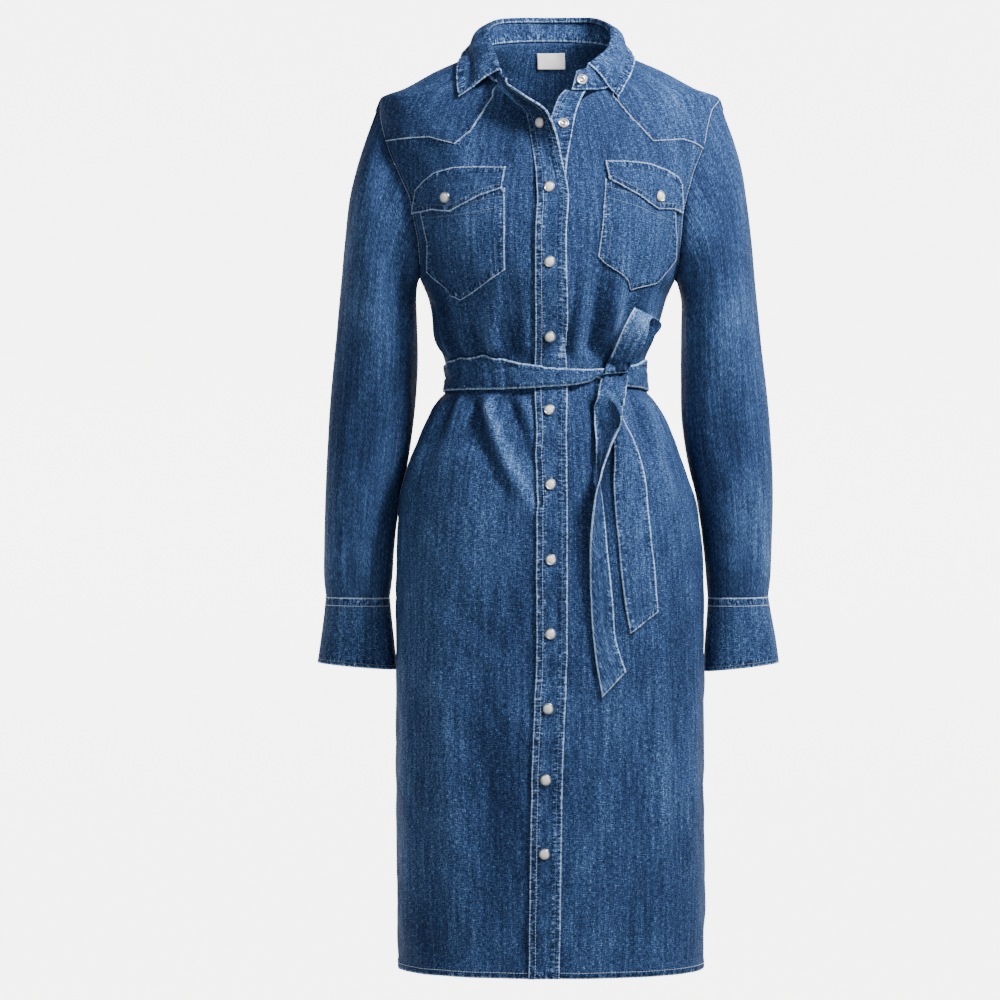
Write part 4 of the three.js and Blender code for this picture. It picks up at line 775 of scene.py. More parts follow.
def back_yoke():
    def shape(u, v):
        share = 2 * u - 1
        side = np.where(share < 0, -1, 1)
        s = np.abs(share)
        shoulder = s > NECK_SHARE
        t = np.where(shoulder, (s - NECK_SHARE) / (1 - NECK_SHARE), s / NECK_SHARE)
        top_reach = np.where(shoulder, SHOULDER_ANGLE, t * SHOULDER_ANGLE)
        top_z = np.where(shoulder, mix(NECK_SIDE_Z, SHOULDER_Z, t), neck_z(math.pi - t * SHOULDER_ANGLE))
        low_z = back_yoke_seam(share)
        z = mix(low_z, top_z, v)
        arm = np.minimum(armhole_angle(z, 1, True) - GAP / 2 / ROUND, SHOULDER_ANGLE)
        low_reach = s * armhole_angle(low_z, 1, True)
        reach = np.where(s == 1, arm, np.minimum(mix(low_reach, top_reach, v), arm))
        lift = CLOTH + LIFT_LAP * (1 - smooth((v - 0.1) / 0.3))
        return on_body(math.pi - side * reach, z, lift)
    return cloth("yoke_back", 140, 46, shape, ONE_LAYER, edges="b", out=-1)


def front_yoke(name, side, yoke_seam, turned):
    bottom = seam_line(side, yoke_seam, GAP - 0.6)
    ridge = side * SHOULDER_ANGLE
    top = lambda u: (ridge + 0 * u, mix(SHOULDER_Z, NECK_SIDE_Z, u))

    def arm(v):
        z = mix(bottom(0 * v)[1], SHOULDER_Z, v)
        reach = armhole_angle(z, side, False) - GAP / 2 / ROUND
        return side * np.minimum(reach, SHOULDER_ANGLE), z

    def neck(v):
        foot, foot_z = bottom(0 * v + 1)
        z = mix(foot_z, NECK_SIDE_Z, v)
        reach = lambda height: side * np.minimum(np.radians(neck_angle(height)), SHOULDER_ANGLE)
        return reach(z) + (foot - reach(foot_z)) * (1 - smooth(v / 0.5)), z

    def shape(u, v):
        angle, z = patch(bottom, top, arm, neck)(u, v)
        lift = CLOTH + LIFT_LAP * (1 - smooth((v - 0.12) / 0.4)) * smooth((1 - u) * 8)
        return on_body(angle, z, lift, turned)
    return cloth(name, 96, 56, shape, ONE_LAYER, edges="b", out=-side)


# Plackets
PLACKET_TOP = -37.9
UNDER_TOP = -43
CORNER_DROP = -6
OUTER_LIFT = BAND + 0.5


def outer_lift(z):
    """The outer half of the placket lies over the under half, and level with its front above."""
    return (OUTER_LIFT + 1.3 * hem_rise(z)) * (1 - smooth((z + 155) / 50))


def placket(name, start, end, across, lift, turned, top, drop=0.0, crown=0.0):
    first, last = edge_angle(start), edge_angle(end)

    def shape(u, v):
        z = mix(HEM_Z, top - drop * u * u, v)
        angle = mix(first(z), last(z), u)
        rise = crown * (1 - (2 * u - 1) ** 6)
        return on_body(angle, z, lift(z) + BAND + hem_rise(z) + rise, turned)
    return cloth(name, across, 320, shape, TWO_LAYERS, edges="lrb", surface="band")


# Sleeves and cuffs: outer and inner edge of each section, its half depth and its swing back
SLEEVE = {
    "out_z": [-46, -66, -92, -122, -157, -202, -258, -322, -381, -434, -487, -540, -576, -601.1],
    "in_z": [-245, -252, -261, -272, -286, -304, -328, -362, -402, -444, -491, -542, -577, -602.1],
    "y": [2, 3, 4, 5, 6, 7, 9, 11, 14, 17, 21, 24, 26, 27],
}
RIGHT_SLEEVE = {
    **SLEEVE,
    "out_x": [191.5, 199, 208, 217, 225, 230, 235, 241, 246.5, 250, 252.5, 254, 254.5, 252.5],
    "in_x": [145, 147.5, 149, 149.5, 149, 148.5, 148, 149, 152.5, 158.5, 168, 174.5, 177, 180],
    "deep": [46, 54, 58, 60, 60, 59, 57, 55, 52, 50, 47, 45, 44, 41],
}
LEFT_SLEEVE = {
    **SLEEVE,
    "out_x": [191.5, 198, 207, 215, 220.5, 226, 231, 237.5, 244.5, 249, 251, 250, 249, 246.5],
    "in_x": [145, 146.5, 147.5, 148, 147.5, 147, 147, 147, 148, 154, 165, 172.5, 176, 178],
    "deep": [46, 54, 58, 60, 60, 59, 57, 55, 53, 51, 48, 45, 44, 41],
}
CUFF = {"out_z": [-601.5, -622, -648, -676], "deep": [41, 42, 43.5, 45], "y": [27, 28, 30, 32]}
RIGHT_CUFF = {
    **CUFF,
    "out_x": [252.5, 254.5, 258, 262], "in_x": [180, 178, 175, 172], "in_z": [-602.5, -624, -652, -684],
}
LEFT_CUFF = {
    **CUFF,
    "out_x": [246.5, 250, 255, 259], "in_x": [178, 177, 175, 173], "in_z": [-602.5, -624, -652, -686],
}
# Creases of a sleeve: where round it (degrees from the outer edge, over the front), how far that
# moves per 100 mm down, top and bottom heights, half width in degrees and how far out
SLEEVE_FOLDS = [
    (70, 30, -250, -420, 20, 3.4), (110, -22, -330, -480, 18, -3.0), (60, -10, -430, -600, 20, 3.0),
    (250, 12, -280, -460, 24, 3.2), (290, -12, -440, -600, 22, -2.8),
    (40, 14, -190, -330, 14, 1.6), (132, 26, -262, -372, 11, 2.2), (148, 20, -300, -400, 9, -1.8),
    (96, 8, -470, -598, 10, 1.8), (42, -6, -520, -600, 9, 1.6), (76, 4, -540, -601, 7, -1.6),
    (122, 2, -530, -601, 8, 1.6), (220, -16, -340, -500, 12, 2.0), (300, 6, -520, -600, 8, 1.6),
    (262, -3, -545, -601, 7, -1.4), (160, -34, -268, -340, 10, 1.8), (20, 3, -300, -560, 12, 1.2),
    (88, 40, -150, -250, 12, 1.5),
]


def between(table, name, v):
    """A smooth value of one column of a table part of the way (0 to 1) down its rows."""
    column = np.array(table[name], float)
    last = len(column) - 1
    place = v * last
    k = np.minimum(np.floor(place).astype(int), last - 1)
    t = place - k
    a, b, c, d = (column[np.clip(k + n, 0, last)] for n in (-1, 0, 1, 2))
    second, third = 2 * a - 5 * b + 4 * c - d, 3 * b - a - 3 * c + d
    return 0.5 * (2 * b + (c - a) * t + second * t * t + third * t ** 3)


def sleeve_folds(phase, z):
    degrees = np.degrees(phase)
    total = 0
    for at, drift, top, bottom, width, depth in SLEEVE_FOLDS:
        away = (degrees - (at + drift * (top - z) / 100) + 540) % 360 - 180
        reach = min(40, (top - bottom) / 2)
        ends = smooth(np.minimum(z - bottom, top - z) / reach)
        swell = depth * np.exp(-(away / (width * 1.25)) ** 2) * ends
        total = total + np.where((z < top) & (z > bottom), swell, 0)
    return total


def armhole_loop(side, phase):
    """The armhole seam on the body's outer face, from the shoulder down the front and up the back."""
    z = mix(SHOULDER_Z, ARMPIT_Z, (1 - np.cos(phase)) / 2)
    turn = np.mod(phase, 2 * math.pi)
    behind = turn > math.pi
    reach = np.where(behind, armhole_angle(z, side, True), armhole_angle(z, side, False))
    angle = side * np.where(behind, math.pi - reach, reach)
    return angle, z


def tube(name, side, table, along, thick, armhole=False, edges="", surface="denim"):
    def ring_at(phase, v):
        get = lambda key: between(table, key, v)
        half_x, half_z = (get("out_x") - get("in_x")) / 2, (get("out_z") - get("in_z")) / 2
        middle_z = (get("out_z") + get("in_z")) / 2 + half_z * np.cos(phase)
        swell = 0
        if armhole:
            fade = smooth((v - 0.12) / 0.25)
            creases = sleeve_folds(phase, mix(middle_z, get("in_z"), 0.6))
            swell = (creases + 0.35 * unevenness(phase, middle_z)) * fade
        half = np.hypot(half_x, half_z)
        cos = np.cos(phase) * (1 + swell * 0.6 / half)
        return np.stack([
            side * ((get("out_x") + get("in_x")) / 2 + half_x * cos),
            get("y") - (get("deep") + swell) * np.sin(phase),
            (get("out_z") + get("in_z")) / 2 + half_z * cos], axis=-1)

    def shape(u, v):
        phase = 2 * math.pi * u
        points = ring_at(phase, v)
        if armhole:
            turned = side < 0
            angle, z = armhole_loop(side, phase)
            loop = on_body(angle, z, CLOTH + 0 * z, turned)
            ahead, behind = (on_body(*armhole_loop(side, phase + step), CLOTH + 0 * z, turned)
                             for step in (0.06, -0.06))
            away = side * np.cross(normal_at(angle, z, turned), unit(ahead - behind))
            start = loop + unit(away) * 0.5 - normal_at(angle, z, turned) * 0.3
            weight = (1 - smooth(v / 0.36)) ** 1.5
            points = points + (start - ring_at(phase, 0 * v)) * weight[..., None]
        return points
    # The sleeves' creases get painted highlight where they stand out and painted shade where they sink in
    return cloth(name, 120, along, shape, thick, ring=True, edges=edges, out=side, surface=surface,
                 brighten=(lambda u, v, p: sleeve_folds(2 * math.pi * u, p[..., 2]) / 4) if armhole else None)


# Collar, from the wearer's right front round the back to the left front: how far round the
# neckline (degrees), the top line of the stand and the outer edge of the leaf
COLLAR = [
    (-18, (-43, -100.5, -33), None), (-19.4, (-56, -76, -22.5), (-101.5, -67, -49.5)),
    (-28, (-61, -54, -5), (-103, -50, -37)), (-42, (-66, -34, 10), (-101, -25, -13)),
    (-90, (-70, 2, 35), (-97, 6, 9)), (-128, (-58, 40, 47.5), (-77, 60, 9)),
    (-153, (-32, 57, 51.5), (-44, 82, 8)), (-180, (-3, 62, 52), (-3, 88, 8)),
    (-207, (26, 57, 51.5), (38, 82, 8)), (-232, (52, 40, 48.5), (71, 60, 9)),
    (-270, (67.5, 2, 34), (91, 6, 9)), (-318, (65, -32, 8), (90.5, -24, -14)),
    (-334, (52, -55, -6), (83, -52, -37)), (-344, (41, -65, -15), (74, -70, -51)),
    (-352.6, (28, -70, -19.6), None),
]
STAND_GAP = 1.7
STAND_DROP = 10
LEAF_BULGE = 5
LEAF_STRAIGHT = 0.1
TURNED_ROWS = 3
TAB_PLACE = 11.5
COLLAR_CLEAR = 4


def centripetal(points):
    """A smooth line through points in space, read from 0 to 1."""
    given = np.array(points, float)
    held = np.vstack([2 * given[0] - given[1], given, 2 * given[-1] - given[-2]])
    last = len(given) - 1

    def at(t):
        place = np.clip(t, 0, 1) * last
        k = np.minimum(np.floor(place).astype(int), last - 1)
        w = (place - k)[..., None]
        p = [held[k + n] for n in range(4)]
        d = [np.maximum(np.sum((p[n + 1] - p[n]) ** 2, axis=-1, keepdims=True) ** 0.25, 1e-4)
             for n in range(3)]
        t1 = ((p[1] - p[0]) / d[0] - (p[2] - p[0]) / (d[0] + d[1]) + (p[2] - p[1]) / d[1]) * d[1]
        t2 = ((p[2] - p[1]) / d[1] - (p[3] - p[1]) / (d[1] + d[2]) + (p[3] - p[2]) / d[2]) * d[1]
        c2 = -3 * p[1] + 3 * p[2] - 2 * t1 - t2
        c3 = 2 * p[1] - 2 * p[2] + t1 + t2
        return p[1] + t1 * w + c2 * w * w + c3 * w ** 3
    return at


roll_line = centripetal([row[1] for row in COLLAR])
leaf_edge = centripetal([row[2] for row in COLLAR[1:-1]])


def collar_seam(u):
    """The foot of the stand, just above the neckline of the yokes."""
    count = len(COLLAR) - 1
    place = u * count
    angles = np.radians([row[0] for row in COLLAR])
    turned = np.floor(place) < TURNED_ROWS

    def here(at):
        a = np.interp(at, np.arange(count + 1), angles)
        z = neck_z(np.where(a < -math.pi, a + 2 * math.pi, a))
        lift = CLOTH + 1.6 * smooth((at - TAB_PLACE) / 0.8)
        keep = turned[..., None]
        base = np.where(keep, on_body(a, z, lift, True), on_body(a, z, lift))
        return base, np.where(keep, normal_at(a, z, True), normal_at(a, z))
    tangent = unit(here(np.minimum(place + 0.1, count))[0] - here(np.maximum(place - 0.1, 0))[0])
    base, normal = here(place)
    gap = mix(STAND_GAP + 1.8, STAND_GAP, smooth(place / 2.5))
    gap = gap - STAND_DROP * smooth((place - TAB_PLACE) / 0.9)
    return base + unit(np.cross(tangent, normal)) * gap[..., None]


def stand_at(u, v):
    low = collar_seam(u)
    high = roll_line(u) + np.array([0, 0, -1.4])
    return low + (high - low) * v[..., None]


def keep_clear(points, clear):
    """Moves points out until they stand clear of the body's outer face."""
    for _ in range(3):
        x, y, z = points[..., 0], points[..., 1], points[..., 2]
        depth = np.where(y < body["centre_y"](z), body["front"](z), body["back"](z))
        angle = np.arctan2((x - body["centre_x"](z)) / body["half"](z), -(y - body["centre_y"](z)) / depth)
        normal = normal_at(angle, np.clip(z, -200, 24))
        lift = np.sum((points - skin(angle, z)) * normal, axis=-1)
        points = points + normal * np.maximum(clear - lift, 0)[..., None]
    return points


LAP = 0.1
UP = np.array([0, 0, 1])


def leaf_at(u, v):
    """The leaf from inside the stand's top, over the fold and down to its outer edge."""
    rows = len(COLLAR) - 1
    roll = roll_line((1 + u * (rows - 2)) / rows)
    edge = leaf_edge(u)
    out = unit((edge - roll) * np.array([1, 1, 0]))
    w = np.clip((v - LAP) / (1 - LAP), 0, 1)
    ends = mix(0.35, 1, smooth(np.minimum(u, 1 - u) / LEAF_STRAIGHT))
    bulge = LEAF_BULGE * ends * np.sin(math.pi * np.minimum(w * 1.5, 1)) * (1 - w * 0.4)
    up = bulge * 0.6 + (1 - w) * 2.1
    points = roll + (edge - roll) * w[..., None] + out * bulge[..., None] + up[..., None] * UP
    cleared = keep_clear(points, mix(0, COLLAR_CLEAR, np.clip((w - 0.3) * 4, 0, 1)))
    points = np.where((w > 0.3)[..., None], cleared, points)
    inside = np.clip(1 - v / LAP, 0, 1)
    over = np.sin(inside * math.pi / 2)
    drop = (1 - np.cos(inside * math.pi / 2)) * 4.6
    lap = roll + 2.1 * UP - out * (over * 0.9)[..., None] - drop[..., None] * UP
    return np.where((v < LAP)[..., None], lap, points)


# Pockets and flaps as seen, each side listed from its start to its end
RIGHT_POCKET = {
    "top": [(-147, -157), (-96, -152), (-50, -144)], "inner": [(-50, -235), (-50, -144)],
    "bottom": [(-134, -238), (-116, -258), (-98, -270), (-75, -253), (-50, -235)],
    "outer": [(-134, -238), (-137, -205), (-147, -157)],
    "flap_top": [(-150, -146), (-139, -134), (-127, -126), (-106, -121), (-80, -120), (-49, -120.5)],
    "flap_inner": [(-49, -120.5), (-53, -145)],
    "flap_bottom": [(-152, -173), (-130, -169), (-110, -171), (-77, -153), (-53, -145)],
    "flap_outer": [(-150, -146), (-152, -173)],
    "snap": (-115, -154.5),
}
LEFT_POCKET = {
    "top": [(61, -134), (100, -144), (139, -162)], "inner": [(53.5, -220), (58, -180), (61, -134)],
    "bottom": [(53.5, -220), (85, -248), (91, -258), (117, -250), (137, -224)],
    "outer": [(137, -224), (140, -200), (139, -162)],
    "flap_top": [(61, -113), (86, -114), (109, -116.5), (129, -122.5), (142, -131), (146.5, -140)],
    "flap_inner": [(61, -113), (65, -135)],
    "flap_bottom": [(65, -135), (98, -153), (119, -168), (136, -168), (146.5, -172)],
    "flap_outer": [(146.5, -140), (146.5, -172)],
    "snap": (121, -153),
}
POCKET_LIFT = CLOTH + 0.8
FLAP_LIFT = POCKET_LIFT + CLOTH + 0.6


def overlay(name, first, second, inner, outer, left, across, along, lift, thick, out):
    ends = (inner, outer) if left else (outer, inner)
    shape_of = patch(*(chain(side) for side in (first, second, *ends)))

    def shape(u, v):
        angle, z = seen(*shape_of(u, v))
        return on_body(angle, z, lift(u, v))
    return cloth(name, across, along, shape, thick, surface="pocket", out=out)


def pocket(name, p, left):
    lift = lambda u, v: ON_CLOTH + 0.9 * (1 - (2 * u - 1) ** 8) * (1 - (2 * v - 1) ** 8)
    return overlay(name, p["bottom"], p["top"], p["inner"], p["outer"], left, 72, 84, lift, 1.1, 1)


def flap(name, p, left):
    lift = lambda u, v: mix(CLOTH + 1.5, FLAP_LIFT + 0.4, smooth(v * 1.5)) + 0.5 * np.sin(math.pi * u)
    return overlay(name, p["flap_top"], p["flap_bottom"], p["flap_inner"], p["flap_outer"], left, 84, 44,
                   lift, 1.5, -1)


# The sash as seen: height of its edges round the waist, in degrees from the front
SASH = {
    "at": [-90, -58, -37, -26, -9, 12, 24, 29, 33, 38, 60, 78, 90, 135, 180, 225, 270],
    "top": [-343, -336, -333.5, -336.5, -343.5, -349, -349, -348.5, -348.4, -348, -343, -336, -335, -337,
            -338, -337, -343],
    "bottom": [-375, -374, -373, -372.5, -371, -368, -364, -358.5, -362, -367, -369.5, -371.5, -373, -377,
               -378, -377, -375],
}
# Where the crease between the sash's two layers runs, as a share of its width
SASH_CREASE = {
    "at": [-90, -35, -24, -9, 0, 60, 90, 150, 210, 270],
    "share": [0.55, 0.5, 0.68, 1.0, 1.2, 0.9, 0.6, 0.4, 0.45, 0.55],
}
# The wrap of the knot as seen: its lower left, lower right, upper right and upper left corners,
# how far it stands out and its grooves, each with its place, slant and depth
KNOT = {
    "x": [57, 87, 97, 69], "z": [-353, -350.5, -332, -325], "deep": 9,
    "grooves": [(0.24, 0.06, 0.14), (0.43, 0.1, 0.2), (0.62, 0.02, 0.12), (0.8, -0.05, 0.18)],
}
LONG_TAIL = {
    "za": [-357, -375, -403, -437, -465, -493, -543, -605, -650, -685],
    "zb": [-354, -375, -403, -437, -465, -493, -543, -612, -664, -714],
    "xa": [56, 53.8, 52.6, 53.2, 54.9, 59.4, 64.4, 70, 74, 85],
    "xb": [86.2, 84.4, 77.8, 67.8, 58.8, 49.8, 44.5, 45.5, 49.8, 58.2],
    "off_a": [8.5, 9, 9, 8, 7.5, 7, 6.5, 6, 5.5, 5],
    "off_b": [8.5, 11, 19, 24, 26, 21, 13, 7, 5.2, 5],
}
SHORT_TAIL = {
    "za": [-366, -396, -426, -454, -493, -540, -590, -643],
    "zb": [-364, -396, -426, -454, -493, -538, -580, -618],
    "xa": [66, 69, 71.7, 72.5, 73.5, 77, 81.2, 89.6],
    "xb": [74, 79, 94, 103.6, 109.2, 113.3, 118.2, 120.4],
    "off_a": [7.4, 4.2, 4, 4, 3.6, 3.4, 3.2, 3.2],
    "off_b": [7.4, 4.4, 4.4, 4.6, 4, 3.6, 3.4, 3.2],
}
LOOP_A = [(65.4, -84.8, -337), (74.1, -95, -315.8), (81.7, -99, -299.4), (88.3, -97, -287.3),
          (90.8, -92.5, -283.2), (90.7, -87, -285.9), (84.2, -84.5, -306.7), (77.5, -84, -323.1)]
LOOP_B = [(87.6, -86.4, -343), (100.3, -95, -325.5), (105.8, -99, -310.3), (108, -96.5, -297.1),
          (113, -91.5, -294), (121.3, -86, -301.2), (112.6, -82.5, -314.3), (99.4, -82, -328.6)]
sash_edge = {name: curve(SASH, "at", name) for name in ("top", "bottom")}


def sash_lift(angle):
    turn = np.abs((np.degrees(angle) + 540) % 360 - 180)
    return mix(OUTER_LIFT + BAND + 1.1, ON_CLOTH, smooth((turn - 14) / 9))


def sash():
    def shape(u, v):
        angle = 2 * math.pi * u - math.pi / 2
        at = (np.degrees(angle) + 450) % 360 - 90
        low, high = sash_edge["bottom"](at), sash_edge["top"](at)
        z = mix(low, high, v)
        roll = 1.2 * np.sin(math.pi * v)
        crease = np.interp(at, SASH_CREASE["at"], SASH_CREASE["share"])
        fold = smooth((crease - v) / 0.06 + 0.5) - 1.3 * np.exp(-((v - crease) / 0.06) ** 2)
        ripple = 0.35 * np.sin(np.radians(at) * 31 + 5 * v) * np.sin(np.radians(at) * 7)
        rise = (fold + ripple) * smooth(v * 6) * smooth((1 - v) * 6)
        return on_body(angle, z, sash_lift(angle) + roll + BAND + rise)
    return cloth("belt", 300, 18, shape, TWO_LAYERS, ring=True, edges="bt", surface="sash")


def knot():
    """The wrap of the knot: a pad of gathered cloth over the sash."""
    def shape(u, v):
        corner = lambda key: mix(mix(KNOT[key][0], KNOT[key][1], u), mix(KNOT[key][3], KNOT[key][2], u), v)
        waist = 1.0 * np.sin(math.pi * v)
        angle, z = seen(corner("x") + waist * (1 - 2 * u), corner("z"))
        dome = (1 - np.abs(2 * u - 1) ** 3) ** 0.5 * (1 - smooth(v - 0.1) * 0.8) * (1 - 0.45 * (1 - v) ** 8)
        grooves = sum(depth * np.exp(-((u - at - lean * (v - 0.5)) / 0.06) ** 2) * smooth(v * 1.6)
                      for at, lean, depth in KNOT["grooves"])
        return in_front(angle, z, ON_CLOTH + BAND + 0.4 + KNOT["deep"] * dome * (1 - grooves))
    return cloth("belt_knot", 60, 44, shape, ONE_LAYER, edges="b", surface="sash")


def loop():
    first, second = centripetal(LOOP_A), centripetal(LOOP_B)

    def shape(u, v):
        a, b = first(v), second(v)
        cup = 1.6 * np.sin(math.pi * u) * np.sin(math.pi * v)
        cup = cup + 1.5 * np.cos(6 * math.pi * u + 4 * v) * (1 - smooth(v * 2.8)) * np.sin(math.pi * u)
        return a + (b - a) * u[..., None] - cup[..., None] * np.array([0, 1, 0])
    # The loop is painted paler along most of its run
    return cloth("belt_loop", 30, 90, shape, TIE, edges="l", offset=0,
                 surface="sash", brighten=lambda u, v, p: 1.6 * smooth((1 - np.abs(v - 0.35) / 0.45)))


def tail(name, table, along):
    def shape(u, v):
        get = lambda key: between(table, key, v)
        a, b = seen(get("xa"), get("za")), seen(get("xb"), get("zb"))
        lift = mix(get("off_a"), get("off_b"), u)
        lift = lift + 0.8 * np.sin(9 * v + 2 * u) * np.sin(math.pi * u) * smooth(v * 4)
        return in_front(mix(a[0], b[0], u), mix(a[1], b[1], u), lift)
    return cloth(name, 18, along, shape, TIE, edges="lrt", offset=0, surface="sash")


LABEL = {"x": 4, "z": 6.3, "wide": 31.6, "high": 17.3, "gap": 1.1}


def label():
    def shape(u, v):
        z = LABEL["z"] + LABEL["high"] * (v - 0.5)
        angle = math.pi - np.arcsin((LABEL["x"] + LABEL["wide"] * (u - 0.5)) / body["half"](z))
        return on_body(angle, z, -LABEL["gap"] + 0.15 * np.sin(7 * u + 3 * v))
    return cloth("label", 30, 20, shape, 0.7, surface="label", out=-1)


# Stitching
def inset(name, side, distance, start=0.0, end=1.0):
    """A line on a piece a set distance in from one side, with the cloth's normals along it."""
    g = grids[name]
    rows, columns = g["over"].shape
    if side in "lr":
        runs = g["over"] if side == "l" else g["over"][:, -1:] - g["over"]
    else:
        runs = (g["up"] if side == "b" else g["up"][-1:] - g["up"]).T
    count, reach = runs.shape
    along = np.linspace(start * (count - 1), end * (count - 1), max(4, int(count * (end - start) * 2)))
    places = []
    for run in runs:
        order = np.argsort(run, kind="stable")
        places.append(np.interp(distance, run[order], np.arange(reach)[order]))
    across = np.interp(along, np.arange(len(places)), places)
    i, j = (along, across) if side in "lr" else (across, along)
    i0, j0 = np.minimum(i.astype(int), rows - 2), np.minimum(j.astype(int), columns - 2)
    s, t = (i - i0)[:, None], (j - j0)[:, None]

    def read(values):
        low = values[i0, j0] * (1 - t) + values[i0, j0 + 1] * t
        high = values[i0 + 1, j0] * (1 - t) + values[i0 + 1, j0 + 1] * t
        return low * (1 - s) + high * s
    return read(g["points"]), unit(read(g["normals"]))


def stitch_shape():
    """One stitch: a short flattened bar, thinner at its ends."""
    form = bmesh.new()
    bmesh.ops.create_cube(form, size=1)
    long_edges = [e for e in form.edges if abs(e.verts[0].co.x - e.verts[1].co.x) > 0.5]
    bmesh.ops.subdivide_edges(form, edges=long_edges, cuts=1)
    form.verts.index_update()
    points = np.array([v.co for v in form.verts])
    faces = [[v.index for v in f.verts] for f in form.faces]
    form.free()
    ends = np.abs(points[:, :1]) > 0.25
    return points * np.where(ends, (1, 0.6, 0.5), (1, 1, 1)), faces


STITCH_POINTS, STITCH_FACES = stitch_shape()


def stitching(on, rows, faint=(), length=2.6, width=0.55, high=0.4):
    """Rows of stitches as one piece, sewn on another; each row is what inset() takes."""
    name = f"stitches_{on}"
    points, faces, pale = [], [], 0
    for k_line, row in enumerate([*rows, *faint]):
        line, normals = inset(on, *row)
        run = np.r_[0, np.cumsum(np.linalg.norm(np.diff(line, axis=0), axis=1))]
        if run[-1] < PITCH:
            continue
        at = np.arange(PITCH * 0.5, run[-1] - PITCH * 0.3, PITCH)
        at = at + rng.uniform(-0.2, 0.2, len(at))
        read = lambda values, t: np.stack([np.interp(t, run, values[:, k]) for k in range(3)], axis=-1)
        middle, up = read(line, at), unit(read(normals, at))
        ahead = unit(read(line, at + 1.0) - read(line, at - 1.0))
        side = unit(np.cross(up, ahead))
        size = length * rng.uniform(0.85, 1.1, len(at))
        for k in range(len(at)):
            base = len(points) * len(STITCH_POINTS)
            p = STITCH_POINTS
            points.append(middle[k] + up[k] * 0.12 + p[:, :1] * size[k] * ahead[k]
                          + p[:, 1:2] * width * side[k] + p[:, 2:] * high * up[k])
            faces += [[i + base for i in face] for face in STITCH_FACES]
        if k_line < len(rows):
            pale = len(faces)
    form = bmesh.new()
    mesh = bpy.data.meshes.new(name)
    mesh.from_pydata(np.vstack(points) * MM, [], faces)
    form.from_mesh(mesh)
    bpy.data.meshes.remove(mesh)
    bmesh.ops.recalc_face_normals(form, faces=form.faces)
    form.faces.ensure_lookup_table()
    for face in form.faces[pale:]:
        face.material_index = 1
    sewn = finish_mesh(name, form, None, (), [material["thread"], material["thread_faint"]])
    on_piece.setdefault(on, []).append(sewn)


# Snaps: half of each profile, from the middle of its face to the middle of its foot
SNAP_FOOT = [(6.0, 0.0), (3.0, 0.0), (0, 0.0)]
CAP = [(0, 2.5), (1.6, 2.42), (3.0, 2.15), (4.1, 1.65), (4.45, 1.2), (4.6, 1.3), (5.1, 1.75), (5.6, 1.65),
       (6.0, 1.0), *SNAP_FOOT]
STUD = [(0, 0.7), (1.3, 0.75), (2.1, 1.5), (2.7, 1.6), (3.1, 0.9), (4.2, 0.75), (4.7, 1.3), (5.4, 1.4),
        (6.0, 0.7), *SNAP_FOOT]
PEARL_RADIUS = 4.3


def snap(name, base, normal, cap=True):
    """A snap: a thin metal ring round a domed cap, or round a sunk stud."""
    form = bmesh.new()
    verts = [form.verts.new((radius, 0, high)) for radius, high in (CAP if cap else STUD)]
    edges = [form.edges.new(pair) for pair in zip(verts, verts[1:])]
    bmesh.ops.spin(form, geom=verts + edges, cent=(0, 0, 0), axis=(0, 0, 1), angle=2 * math.pi, steps=32,
                   use_merge=True)
    bmesh.ops.remove_doubles(form, verts=form.verts, dist=1e-4)
    bmesh.ops.recalc_face_normals(form, faces=form.faces)
    for face in form.faces:
        middle = face.calc_center_median()
        face.material_index = 0 if cap and middle.xy.length < PEARL_RADIUS and middle.z > 0.5 else 1
    turn = Vector(normal).to_track_quat("Z", "Y")
    for vert in form.verts:
        vert.co = (turn @ vert.co + Vector(base)) * MM
    return finish_mesh(name, form, None, [name], [material["pearl"], material["metal"]])


def snap_on_body(name, x, z, lift, turned=False, cap=True):
    angle, height = seen(np.array(float(x)), np.array(float(z)))
    base = on_body(angle, height, np.array(float(lift)), turned)
    snap(name, base, normal_at(angle, height, turned), cap)


# The dress
front_panel("front_right", -1, right_front_edge, RIGHT_YOKE_SEAM, True)
front_panel("front_left", 1, left_front_edge, LEFT_YOKE_SEAM, False)
back_panel()
back_yoke()
front_yoke("yoke_front_right", -1, RIGHT_YOKE_SEAM, True)
front_yoke("yoke_front_left", 1, LEFT_YOKE_SEAM, False)
placket("placket", placket_seam, placket_edge, 22, outer_lift, True, PLACKET_TOP, CORNER_DROP, crown=0.3)
placket("placket_under", under_edge, lambda z: left_front_edge(z) - 0.4, 14, lambda z: 0 * z, False,
        UNDER_TOP)
tube("sleeve_right", -1, RIGHT_SLEEVE, 170, ONE_LAYER, armhole=True)
tube("sleeve_left", 1, LEFT_SLEEVE, 170, ONE_LAYER, armhole=True)
tube("cuff_right", -1, RIGHT_CUFF, 34, TWO_LAYERS, edges="bt", surface="cuff")
tube("cuff_left", 1, LEFT_CUFF, 34, TWO_LAYERS, edges="bt", surface="cuff")
cloth("collar_stand", 200, 14, stand_at, 1.5, edges="lrb", offset=1, surface="band", out=-1)
cloth("collar_leaf", 200, 40, leaf_at, 1.3, offset=1, surface="band")
pocket("pocket_right", RIGHT_POCKET, False)
pocket("pocket_left", LEFT_POCKET, True)
flap("flap_right", RIGHT_POCKET, False)
flap("flap_left", LEFT_POCKET, True)
sash()
knot()
loop()
tail("belt_tail_long", LONG_TAIL, 130)
tail("belt_tail_short", SHORT_TAIL, 110)
label()

